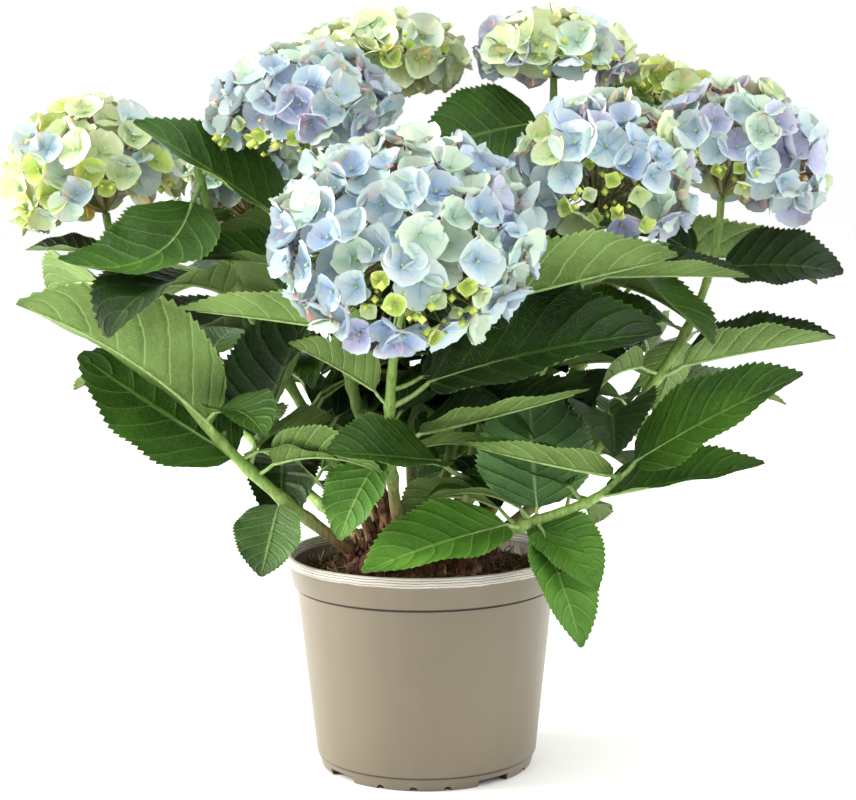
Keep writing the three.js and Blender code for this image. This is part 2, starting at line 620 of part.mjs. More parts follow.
// ---- assembly --------------------------------------------------------------------------
const plant = new THREE.Group();
plant.name = 'potted_hydrangea';
plant.add(nodeOf('pot', potSolid, finish(0xb9ab94, 0.45)));
plant.add(nodeOf('soil', soil(), finish(0x3a2418, 0.95)));
plant.add(nodeOf('crown', crownSolid, finish(0x6b4a33, 0.9)));
for (const shoot of grown) {
  const { cane: bareCane, stem, leaves } = parts.get(shoot.name);
  plant.add(nodeOf(`cane_${shoot.name}`, bareCane, finish(0x6f8a3c, 0.6)));
  plant.add(nodeOf(`leaves_${shoot.name}`, fuse([stem, ...leaves]), finish(0x2f6b2a, 0.5)));
  if (shoot.bloom) plant.add(nodeOf(`bloom_${shoot.name}`, flowerHead(shoot), finish(0xb4c0e2, 0.7)));
}

export default plant;
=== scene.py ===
import math

import bpy
import numpy as np
from mathutils import Matrix, Vector
from mathutils.kdtree import KDTree


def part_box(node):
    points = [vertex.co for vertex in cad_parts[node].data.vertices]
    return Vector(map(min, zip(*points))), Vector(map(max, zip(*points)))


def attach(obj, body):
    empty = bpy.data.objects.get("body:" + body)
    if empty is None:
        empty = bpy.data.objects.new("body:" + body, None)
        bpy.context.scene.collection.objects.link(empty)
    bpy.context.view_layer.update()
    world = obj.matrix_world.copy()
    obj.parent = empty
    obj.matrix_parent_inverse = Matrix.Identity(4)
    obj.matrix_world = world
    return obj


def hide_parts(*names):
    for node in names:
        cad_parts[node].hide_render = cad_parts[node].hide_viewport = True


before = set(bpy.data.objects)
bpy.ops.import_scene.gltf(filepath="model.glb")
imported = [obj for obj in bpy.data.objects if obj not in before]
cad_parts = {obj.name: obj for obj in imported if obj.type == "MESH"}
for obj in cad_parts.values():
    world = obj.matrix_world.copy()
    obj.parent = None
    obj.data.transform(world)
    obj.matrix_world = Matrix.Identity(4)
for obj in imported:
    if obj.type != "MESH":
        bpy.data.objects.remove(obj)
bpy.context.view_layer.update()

# ---- Studio ----------------------------------------------------------------------------
# A seamless pale sheet under soft daylight: a large lamp high on the left, weaker ones above, on
# the right and behind, and an even sky. The camera stands in front, level with the upper leaves.
EYE = (0.003, -1.366, 0.420)
EYE_DIP = math.radians(7.1)
EYE_ROLL = math.radians(0.5)
LENS = 85.7

lens = bpy.data.cameras.new("camera")
lens.lens = LENS
camera = bpy.data.objects.new("camera", lens)
bpy.context.scene.collection.objects.link(camera)
camera.matrix_world = (
    Matrix.Translation(EYE)
    @ Matrix.Rotation(math.pi / 2 - EYE_DIP, 4, "X")
    @ Matrix.Rotation(-EYE_ROLL, 4, "Z")
)
bpy.context.scene.camera = camera
bpy.context.scene.view_settings.view_transform = "Standard"


def colour(hex_code, alpha=1.0):
    """A hex colour as the linear numbers that a shader takes."""
    parts = [int(hex_code[i : i + 2], 16) / 255 for i in (0, 2, 4)]
    linear = [p / 12.92 if p <= 0.04045 else ((p + 0.055) / 1.055) ** 2.4 for p in parts]
    return (*linear, alpha)


def lamp(name, place, size, watts, tint):
    light = bpy.data.lights.new(name, "AREA")
    light.size = size
    light.energy = watts
    light.color = colour(tint)[:3]
    holder = bpy.data.objects.new(name, light)
    bpy.context.scene.collection.objects.link(holder)
    holder.location = place
    holder.rotation_euler = (Vector((0, 0, 0.25)) - Vector(place)).to_track_quat("-Z", "Y").to_euler()


lamp("window_lamp", (-2.4, 0.0, 1.1), 1.5, 118, "fffaf0")
lamp("top_lamp", (-0.3, -0.9, 2.4), 1.6, 18, "ffffff")
lamp("door_lamp", (2.3, -0.2, 1.3), 1.3, 30, "fffdf8")
lamp("back_lamp", (0.5, 2.0, 1.8), 1.6, 16, "ffffff")

sky = bpy.data.worlds.new("sky")
sky.use_nodes = True
sky.node_tree.nodes["Background"].inputs["Color"].default_value = colour("fefeff")
sky.node_tree.nodes["Background"].inputs["Strength"].default_value = 1.02
bpy.context.scene.world = sky


# Shader maths is written as expressions on wires, and a finish gathers the nodes of one material.
class Wire:
    """A shader socket that takes part in an expression: each operator adds its Math node."""

    def __init__(self, finish, socket):
        self.finish = finish
        self.socket = socket

    def maths(self, operation, *values):
        return self.finish.node("Math", {"operation": operation}, dict(enumerate(values)))

    def __add__(self, other):
        return self.maths("ADD", self, other)

    __radd__ = __add__

    def __sub__(self, other):
        return self.maths("SUBTRACT", self, other)

    def __rsub__(self, other):
        return self.maths("SUBTRACT", other, self)

    def __mul__(self, other):
        return self.maths("MULTIPLY", self, other)

    __rmul__ = __mul__

    def __pow__(self, power):
        return self.maths("POWER", self, power)

    def __abs__(self):
        return self.maths("ABSOLUTE", self)

    def part(self):
        """What is left of a number after its whole part."""
        return self.maths("FRACT", self)

    def step(self, low, high):
        """Rises smoothly from 0 at low to 1 at high."""
        settings = {"interpolation_type": "SMOOTHSTEP"}
        return self.finish.node(
            "MapRange", settings, {"Value": self, "From Min": low, "From Max": high}
        )


class Finish:
    """One material, built node by node. Constants are set straight on the shader's sockets."""

    def __init__(self, name, **constants):
        self.material = bpy.data.materials.new(name)
        self.material.use_nodes = True
        self.tree = self.material.node_tree
        self.shader = self.tree.nodes["Principled BSDF"]
        for socket, value in constants.items():
            self.feed(self.shader.inputs[socket.replace("_", " ")], value)

    def feed(self, socket, value):
        if isinstance(value, Wire):
            self.tree.links.new(value.socket, socket)
        else:
            socket.default_value = value

    def node(self, kind, settings=None, inputs=None, output=0):
        """Adds a node of a type with its settings, then its inputs, and returns an output."""
        node = self.tree.nodes.new("ShaderNode" + kind)
        for name, value in (settings or {}).items():
            setattr(node, name, value)
        for name, value in (inputs or {}).items():
            self.feed(node.inputs[name], value)
        return Wire(self, node.outputs[output])

    def place(self):
        return self.node("TexCoord", output="Object")

    def axis(self, vector, name):
        return self.node("SeparateXYZ", inputs={"Vector": vector}, output=name)

    def stretched(self, vector, scale):
        settings = {"operation": "MULTIPLY"}
        return self.node("VectorMath", settings, {0: vector, 1: scale})

    def noise(self, vector, scale, detail=3.0, roughness=0.5):
        inputs = {"Vector": vector, "Scale": scale, "Detail": detail, "Roughness": roughness}
        return self.node("TexNoise", inputs=inputs)

    def cells(self, vector, scale, feature="F1"):
        return self.node("TexVoronoi", {"feature": feature}, {"Vector": vector, "Scale": scale})

    def blend(self, share, first, second):
        """A colour that goes from the first to the second as share goes from 0 to 1."""
        return self.node("Mix", {"data_type": "RGBA"}, {0: share, 6: first, 7: second}, output=2)

    def dress(self, **wires):
        """Feeds the shader what changes over the surface."""
        for socket, wire in wires.items():
            self.feed(self.shader.inputs[socket.replace("_", " ")], wire)

    def mottle(self, scale, first, second):
        """A base colour that drifts between two by a cloud pattern."""
        self.dress(Base_Color=self.blend(self.noise(self.place(), scale), colour(first), colour(second)))

    def emboss(self, height, distance):
        bump = self.node("Bump", inputs={"Height": height, "Strength": 1.0, "Distance": distance})
        self.dress(Normal=bump)


bpy.ops.object.select_all(action="DESELECT")
bpy.ops.mesh.primitive_plane_add(size=120, location=(0, 0, 0))
sheet = bpy.context.object
sheet.name = "studio_sheet"
paper = Finish("paper", Roughness=0.9)
paper.mottle(1.5, "fbfbfb", "fefefe")
sheet.data.materials.append(paper.material)

# ---- Pot -------------------------------------------------------------------------------
# A round nursery pot of thin taupe polypropylene, vacuum-formed in one piece: a tapering body,
# a deep band under the rolled rim and a stepped foot with wide drainage slots and small arches.
MM = 0.001
POT_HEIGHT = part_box("pot")[1].z
RIM_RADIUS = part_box("pot")[1].x
POT_SIDES = 120
WALL = 1.8 * MM
HUB_RADIUS = 29 * MM
FOOT_RADIUS = 72 * MM
CHANNEL = 5.4 * MM
BODY_TOP = 124 * MM
BODY_TOP_RADIUS = 87.5 * MM
BODY_FOOT_RADIUS = 75 * MM
SLOT_TURN = -142
SLOT = (18 * MM, 25 * MM, 9.6 * MM)
ARCH_RADIUS = 3 * MM
ARCH_STEPS = (27, 45, 63)
CUT_RADIUS = 70 * MM
# Heights of the grooves under the band and above the foot, and of the creases in the lip, where shade is
# painted as dark lines.
GROOVES = (0.1246, 0.0090)
CREASES = (0.1434, 0.1452, 0.1469)


def side_radius(height):
    """The body's outside radius at a height."""
    share = (height - 8 * MM) / (BODY_TOP - 8 * MM)
    return BODY_FOOT_RADIUS + (BODY_TOP_RADIUS - BODY_FOOT_RADIUS) * share


def draw_ring(old_radius, radius, rise):
    """Extrudes the selected ring, lifts it and brings it to a new radius."""
    bpy.ops.mesh.extrude_edges_move(TRANSFORM_OT_translate={"value": (0, 0, rise)})
    share = radius / old_radius
    bpy.ops.transform.resize(value=(share, share, 1), center_override=(0, 0, 0))


def turned(name, sides, profile):
    """A round piece drawn ring by ring from a disc along a profile of (radius, height)."""
    bpy.ops.object.select_all(action="DESELECT")
    radius, height = profile[0]
    bpy.ops.mesh.primitive_circle_add(
        vertices=sides, radius=radius, fill_type="NGON", location=(0, 0, height)
    )
    bpy.ops.object.transform_apply(location=True)
    bpy.context.object.name = name
    bpy.ops.object.mode_set(mode="EDIT")
    for next_radius, next_height in profile[1:]:
        draw_ring(radius, next_radius, next_height - height)
        radius, height = next_radius, next_height
    bpy.ops.mesh.edge_face_add()
    bpy.ops.mesh.select_all(action="SELECT")
    bpy.ops.mesh.normals_make_consistent(inside=False)
    bpy.ops.object.mode_set(mode="OBJECT")
    return bpy.context.object


def pick(piece):
    """Makes a piece the active one and the only one that is selected."""
    bpy.ops.object.select_all(action="DESELECT")
    bpy.context.view_layer.objects.active = piece
    piece.select_set(True)


def cut(piece, cutter):
    """Cuts a piece with another and removes the cutter."""
    pick(piece)
    bpy.ops.object.modifier_add(type="BOOLEAN")
    piece.modifiers[-1].object = cutter
    bpy.ops.object.modifier_apply(modifier=piece.modifiers[-1].name)
    bpy.data.objects.remove(cutter)


def smooth(piece, degrees):
    """Shades a piece smooth where its faces meet at less than an angle."""
    pick(piece)
    bpy.ops.object.shade_smooth_by_angle(angle=math.radians(degrees))


floor_top = CHANNEL + WALL
pot = turned("nursery_pot", POT_SIDES, [
    (HUB_RADIUS, 0), (HUB_RADIUS + 4 * MM, CHANNEL), (64 * MM, CHANNEL), (66 * MM, 0.4 * MM),
    (66.6 * MM, 0), (FOOT_RADIUS - 0.8 * MM, 0), (FOOT_RADIUS, 0.8 * MM),
    (FOOT_RADIUS + 1.6 * MM, 7.6 * MM), (FOOT_RADIUS + 1.7 * MM, 8.6 * MM),
    (side_radius(9.4 * MM) - 0.3 * MM, 9.0 * MM), (side_radius(9.8 * MM), 9.8 * MM),
    (side_radius(40 * MM), 40 * MM), (side_radius(80 * MM), 80 * MM),
    (side_radius(123.4 * MM), 123.4 * MM), (BODY_TOP_RADIUS - 0.9 * MM, BODY_TOP),
    (BODY_TOP_RADIUS - 0.9 * MM, 125.2 * MM), (89.6 * MM, 125.4 * MM), (90.0 * MM, 126.2 * MM),
    (91.8 * MM, 134 * MM), (93.4 * MM, 141 * MM), (94.5 * MM, 142.2 * MM),
    (RIM_RADIUS, 143.6 * MM), (RIM_RADIUS, 145.4 * MM), (94.6 * MM, 146.5 * MM),
    (93.8 * MM, POT_HEIGHT), (92.2 * MM, POT_HEIGHT), (91.4 * MM, 146.4 * MM),
    (90.9 * MM, 145.2 * MM), (90.2 * MM, 144.3 * MM), (90.0 * MM, 142.6 * MM),
    (89.2 * MM, 141.6 * MM), (88.9 * MM, 139 * MM), (87.2 * MM, 127 * MM),
    (side_radius(122 * MM) - WALL, 122 * MM), (side_radius(10 * MM) - WALL, 10 * MM),
    (side_radius(9 * MM) - WALL - 2 * MM, floor_top), (HUB_RADIUS + 3 * MM, floor_top),
    (HUB_RADIUS - 1 * MM, WALL),
])

for quarter in range(4):
    slot_turn = math.radians(quarter * 90 + SLOT_TURN)
    spot = (CUT_RADIUS * math.cos(slot_turn), CUT_RADIUS * math.sin(slot_turn), 0)
    bpy.ops.mesh.primitive_cube_add(size=1, location=spot, rotation=(0, 0, slot_turn), scale=SLOT)
    cut(pot, bpy.context.object)
    for arch_step in ARCH_STEPS:
        arch_turn = slot_turn + math.radians(arch_step)
        spot = (CUT_RADIUS * math.cos(arch_turn), CUT_RADIUS * math.sin(arch_turn), 0)
        bpy.ops.mesh.primitive_cylinder_add(
            vertices=24, radius=ARCH_RADIUS, depth=18 * MM, location=spot,
            rotation=(0, math.pi / 2, arch_turn),
        )
        cut(pot, bpy.context.object)
smooth(pot, 32)

plastic = Finish("taupe_plastic", IOR=1.46, Coat_Weight=0.4, Coat_Roughness=0.36)
spot = plastic.place()
streaks = plastic.noise(plastic.stretched(spot, (60, 60, 4)), 1.0, 3)
cloud = plastic.noise(spot, 14, 4)
grain = plastic.noise(spot, 1400, 2)
height = plastic.axis(spot, "Z")
dust = (1 - height.step(0.0, 0.03)) * plastic.noise(spot, 90, 5, 0.7).step(0.4, 0.8)
scuff = plastic.noise(plastic.stretched(spot, (50, 50, 260)), 1.0, 5, 0.7).step(0.7, 0.76)
shade = plastic.blend(cloud * 0.6 + streaks * 0.4, colour("655b49"), colour("756b57"))
shade = plastic.blend(dust * 0.3, shade, colour("6b6053"))
shade = plastic.blend(scuff * 0.25, shade, colour("b9b09c"))
# painted shade: dark lines in the grooves under the band and above the foot, where the ledges cast shadow
waver = plastic.noise(plastic.stretched(spot, (60, 60, 0)), 1.0, 4, 0.6) * 0.0028
for level in GROOVES:
    groove_shade = 1 - abs(height - level).step(0.0005, 0.0011)
    shade = plastic.blend(groove_shade * 0.95, shade, colour("1f1a15"))
# painted reflection: the rolled lip carries a pale, crumpled band of painted sheen
lip = (height + waver).step(0.1414, 0.1424)
crumple = plastic.noise(plastic.stretched(spot, (90, 90, 500)), 1.0, 4, 0.6)
shade = plastic.blend(lip * (0.35 + crumple * 0.6), shade, colour("dcd8d0"))
# painted shade: dark wavy lines in the creases of the lip
for level in CREASES:
    crease_shade = 1 - abs(height + waver - level).step(0.0001, 0.0005)
    shade = plastic.blend(crease_shade * lip * 0.8, shade, colour("4a433b"))
# earth has darkened the underside
flat_spot = plastic.stretched(spot, (1, 1, 0))
reach = plastic.node("VectorMath", {"operation": "LENGTH"}, {0: flat_spot}, output="Value")
under = (1 - reach.step(0.0695, 0.0715)) * (1 - height.step(0.005, 0.0075))
shade = plastic.blend(under, shade, colour("2b2622"))
plastic.dress(Base_Color=shade, Roughness=0.36 + cloud * 0.14 + dust * 0.2)
plastic.emboss(grain * 0.25 + streaks * 0.7 + lip * crumple * 1.6, 0.0006)
pot.data.materials.append(plastic.material)
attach(pot, "root")
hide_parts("pot")

# ---- Peat ------------------------------------------------------------------------------
# Moist, fibrous brown peat that fills the pot to below its band, with pale root hairs, shreds
# and crumbs lying loose on top.
PEAT_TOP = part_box("crown")[0].z - 0.3 * MM
PEAT_RADIUS = side_radius(122 * MM) - WALL - 0.4 * MM
PEAT_GRID = 110
PEAT_DEPTH = 0.11
PEAT_TAPER = 0.86
SHREDS = 1500
SHRED_LENGTH = (4, 17)
SHRED_RADIUS = (0.18, 0.5)
LITTER_REACH = 0.083
CRUMBS = 1900
CRUMB_SIZE = (0.5, 2.2)

bpy.ops.object.select_all(action="DESELECT")
bpy.ops.mesh.primitive_grid_add(
    x_subdivisions=PEAT_GRID, y_subdivisions=PEAT_GRID, size=2 * PEAT_RADIUS,
    location=(0, 0, PEAT_TOP),
)
bpy.ops.object.transform_apply(location=True)
peat = bpy.context.object
peat.name = "peat"
bpy.ops.object.mode_set(mode="EDIT")
bpy.ops.mesh.select_all(action="DESELECT")
bpy.ops.object.mode_set(mode="OBJECT")
for vertex in peat.data.vertices:
    vertex.select = vertex.co.xy.length > PEAT_RADIUS
bpy.ops.object.mode_set(mode="EDIT")
bpy.ops.mesh.delete(type="VERT")
bpy.ops.object.mode_set(mode="OBJECT")


def roughened(piece, kind, size, strength, **settings):
    """Pushes a piece's skin in and out by a cloud pattern."""
    pattern = bpy.data.textures.new(f"{piece.name}_{kind.lower()}", kind)
    pattern.noise_scale = size
    for name, value in settings.items():
        setattr(pattern, name, value)
    pick(piece)
    bpy.ops.object.modifier_add(type="DISPLACE")
    push = piece.modifiers[-1]
    push.texture = pattern
    push.texture_coords = "LOCAL"
    push.strength = strength
    bpy.ops.object.modifier_apply(modifier=push.name)


roughened(peat, "CLOUDS", 0.018, 0.0045)
roughened(peat, "CLOUDS", 0.005, 0.0022)
bpy.ops.object.mode_set(mode="EDIT")
bpy.ops.mesh.select_all(action="DESELECT")
bpy.ops.mesh.select_non_manifold()
bpy.ops.mesh.extrude_edges_move(TRANSFORM_OT_translate={"value": (0, 0, -PEAT_DEPTH)})
bpy.ops.transform.resize(value=(PEAT_TAPER, PEAT_TAPER, 1), center_override=(0, 0, 0))
bpy.ops.mesh.edge_face_add()
bpy.ops.mesh.select_all(action="SELECT")
bpy.ops.mesh.normals_make_consistent(inside=False)
bpy.ops.object.mode_set(mode="OBJECT")
smooth(peat, 60)

loam = Finish("peat", Roughness=0.92)
spot = loam.place()
crumb = loam.cells(spot, 520)
fibre = loam.noise(loam.stretched(spot, (420, 130, 420)), 1.0, 5, 0.65)
tone = loam.blend(fibre.step(0.3, 0.72), colour("231511"), colour("5b3c2a"))
tone = loam.blend(loam.noise(spot, 60, 4).step(0.5, 0.75), tone, colour("3a2619"))
loam.dress(Base_Color=tone)
loam.emboss(crumb * 0.6 + fibre, 0.0016)
peat.data.materials.append(loam.material)
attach(peat, "root")
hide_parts("soil")


def mesh_piece(name, points, faces, finishes, face_finish=None, maps=None):
    """One joined piece of many small things: points and faces as arrays, with its own UV maps."""
    mesh = bpy.data.meshes.new(name)
    mesh.from_pydata(points.tolist(), [], faces)
    for finish in finishes:
        mesh.materials.append(finish.material)
    if face_finish is not None:
        mesh.polygons.foreach_set("material_index", np.asarray(face_finish, dtype=np.int32))
    for map_name, corners in (maps or {}).items():
        layer = mesh.uv_layers.new(name=map_name)
        layer.data.foreach_set("uv", np.asarray(corners, dtype=np.float32).ravel())
    mesh.polygons.foreach_set("use_smooth", np.ones(len(mesh.polygons), dtype=bool))
    mesh.update()
    piece = bpy.data.objects.new(name, mesh)
    bpy.context.scene.collection.objects.link(piece)
    return piece


class Heap:
    """Gathers the points and faces of many small things into one piece."""

    def __init__(self):
        self.points = []
        self.faces = []
        self.finish = []
        self.maps = {}
        self.count = 0

    def add(self, points, faces, finish=0, **maps):
        """Adds a thing; each map holds the UV of every one of its points."""
        self.points.append(np.asarray(points, dtype=float))
        self.faces += [tuple(int(i) + self.count for i in face) for face in faces]
        self.finish += [finish] * len(faces)
        for name, places in maps.items():
            places = np.asarray(places)
            self.maps.setdefault(name, []).append(
                np.concatenate([places[list(face)] for face in faces])
            )
        self.count += len(points)

    def piece(self, name, finishes):
        maps = {key: np.concatenate(corners) for key, corners in self.maps.items()}
        return mesh_piece(name, np.concatenate(self.points), self.faces, finishes, self.finish, maps)


def tube(path, radii, sides, flat=1.0):
    """A round closed limb along a path, as points, faces and a (round, along) place per point."""
    path = np.asarray(path, dtype=float)
    along = np.gradient(path, axis=0)
    along /= np.linalg.norm(along, axis=1, keepdims=True)
    upright = np.where(np.abs(along[:, 2:]) > 0.95, [[0.0, 1.0, 0.0]], [[0.0, 0.0, 1.0]])
    across = np.cross(along, upright)
    across /= np.linalg.norm(across, axis=1, keepdims=True)
    over = np.cross(across, along)
    turn = np.linspace(0, 2 * math.pi, sides, endpoint=False)
    ring = np.cos(turn)[None, :, None] * across[:, None] + flat * np.sin(turn)[None, :, None] * over[:, None]
    points = (path[:, None] + ring * np.asarray(radii)[:, None, None]).reshape(-1, 3)
    faces = []
    for row in range(len(path) - 1):
        for side in range(sides):
            after = (side + 1) % sides
            low, high = row * sides, (row + 1) * sides
            faces.append((low + side, high + side, high + after, low + after))
    last = (len(path) - 1) * sides
    faces.append(tuple(range(sides)))
    faces.append(tuple(range(last + sides - 1, last - 1, -1)))
    rows = range(len(path))
    where = np.array([(side / sides, row / (len(path) - 1)) for row in rows for side in range(sides)])
    return points, faces, where


def wander(start, heading, length, bend, chance, steps=4):
    """A short curved path that strays as it goes."""
    points = [np.array(start, dtype=float)]
    heading = np.array(heading, dtype=float)
    for _ in range(steps):
        heading = heading + chance.normal(0, bend, 3)
        heading /= np.linalg.norm(heading)
        points.append(points[-1] + heading * length / steps)
    return np.array(points)


chance = np.random.default_rng(11)
top_points = np.array([v.co for v in peat.data.vertices if v.co.z > PEAT_TOP - 8 * MM])
litter = Heap()
for _ in range(SHREDS):
    start = top_points[chance.integers(len(top_points))] + (0, 0, 0.4 * MM)
    heading = (*chance.normal(0, 1, 2), chance.uniform(-0.1, 0.35))
    path = wander(start, heading, chance.uniform(*SHRED_LENGTH) * MM, 0.35, chance)
    path[:, 2] = np.maximum(path[:, 2], PEAT_TOP - 2 * MM)
    off = np.maximum(np.linalg.norm(path[:, :2], axis=1), 1e-6)
    path[:, :2] *= np.minimum(1, LITTER_REACH / off)[:, None]
    points, faces, _ = tube(path, np.full(len(path), chance.uniform(*SHRED_RADIUS) * MM), 3)
    litter.add(points, faces, int(chance.integers(2)))
CORNERS = np.array([(0, 0, 1.0), (0.94, 0, -0.33), (-0.47, 0.82, -0.33), (-0.47, -0.82, -0.33)])
CORNER_FACES = [(0, 1, 2), (0, 2, 3), (0, 3, 1), (1, 3, 2)]
for _ in range(CRUMBS):
    spot = top_points[chance.integers(len(top_points))]
    size = chance.uniform(*CRUMB_SIZE) * MM
    squashed = CORNERS * chance.uniform(0.5, 1.1, 3)
    turned_crumb = squashed @ np.array(Matrix.Rotation(chance.uniform(0, 6), 3, "Z"))
    litter.add(turned_crumb * size + spot, CORNER_FACES, 2)

root_hair = Finish("root_hair", Roughness=0.85)
root_hair.mottle(300, "7a5840", "a98a68")
dark_shred = Finish("dark_shred", Roughness=0.9)
dark_shred.mottle(300, "2c1b13", "64412c")
peat_crumb = Finish("peat_crumb", Roughness=0.95)
peat_crumb.mottle(160, "2a1a14", "6d4a34")
litter = litter.piece("peat_litter", [root_hair, dark_shred, peat_crumb])
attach(litter, "root")

# ---- Woody crown -----------------------------------------------------------------------
# The plant's old foot: a flared, knuckled stump with the stubs of its shoots, covered in
# red-brown bark that peels off in papery strips.
BARK_CELL = 1.15 * MM
STRIPS = 420
STRIP_LENGTH = (4, 13)
STRIP_WIDTH = (0.8, 2.2)

stump = bpy.data.objects.new("stump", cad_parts["crown"].data.copy())
stump.data.materials.clear()
bpy.context.scene.collection.objects.link(stump)
pick(stump)
bpy.ops.object.mode_set(mode="EDIT")
bpy.ops.mesh.select_all(action="SELECT")
bpy.ops.mesh.remove_doubles(threshold=0.00001)
bpy.ops.object.mode_set(mode="OBJECT")
bpy.ops.object.modifier_add(type="REMESH")
stump.modifiers[-1].mode = "VOXEL"
stump.modifiers[-1].voxel_size = BARK_CELL
bpy.ops.object.modifier_apply(modifier=stump.modifiers[-1].name)
bpy.ops.object.modifier_add(type="SMOOTH")
stump.modifiers[-1].iterations = 8
bpy.ops.object.modifier_apply(modifier=stump.modifiers[-1].name)
roughened(stump, "CLOUDS", 0.016, 0.0052)
roughened(stump, "STUCCI", 0.0055, 0.0022, turbulence=8.0)
smooth(stump, 50)

bark = Finish("peeling_bark", Roughness=0.85)
spot = bark.place()
furrow = bark.noise(bark.stretched(spot, (260, 260, 46)), 1.0, 6, 0.65)
plate = bark.cells(bark.stretched(spot, (150, 150, 40)), 1.0)
patch = bark.noise(spot, 45, 4)
skin = bark.blend(furrow.step(0.35, 0.65), colour("37211a"), colour("8a5a3e"))
skin = bark.blend(patch.step(0.5, 0.66), skin, colour("a8825c"))
skin = bark.blend(plate.step(0.5, 0.9), skin, colour("4c2d20"))
bark.dress(Base_Color=skin)
bark.emboss(furrow * 1.4 + plate * 0.5, 0.0018)
stump.data.materials.append(bark.material)
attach(stump, "root")
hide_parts("crown")

strips = Heap()
skin_points = np.array([v.co for v in stump.data.vertices])
skin_normals = np.array([v.normal for v in stump.data.vertices])
for _ in range(STRIPS):
    spot_number = chance.integers(len(skin_points))
    outward = skin_normals[spot_number]
    start = skin_points[spot_number] - outward * 0.6 * MM
    heading = np.array((*chance.normal(0, 0.35, 2), 1.0)) + outward * chance.uniform(0.1, 0.7)
    path = wander(start, heading, chance.uniform(*STRIP_LENGTH) * MM, 0.22, chance, 3)
    width = chance.uniform(*STRIP_WIDTH) * MM
    points, faces, _ = tube(path, width * np.array([1, 0.9, 0.7, 0.2]), 4, flat=0.14)
    strips.add(points, faces, 0)
peeling = strips.piece("bark_strips", [bark])
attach(peeling, "root")

# ---- Shoots ----------------------------------------------------------------------------
# Fourteen shoots rise from the stump. Each is a smooth round green stem, ripened brown at its
# foot, with a swollen ring where each pair of leaves sits, and a flower head or a tip at its end.
PEAT_LINE = 132
FOOT_RISE = 4
STEM_FOOT = 4.4
STEM_TIP = 2.6
WOOD = 0.09
UNDERSIDE = 0.62
JOINT_SWELL = 0.95
JOINT_SHARPNESS = 60


def posed(rise, droop, length, **more):
    """A leaf's own climb at its base, fall along its blade and length, with what else is its own."""
    return dict(rise=rise, droop=droop, length=length, **more)


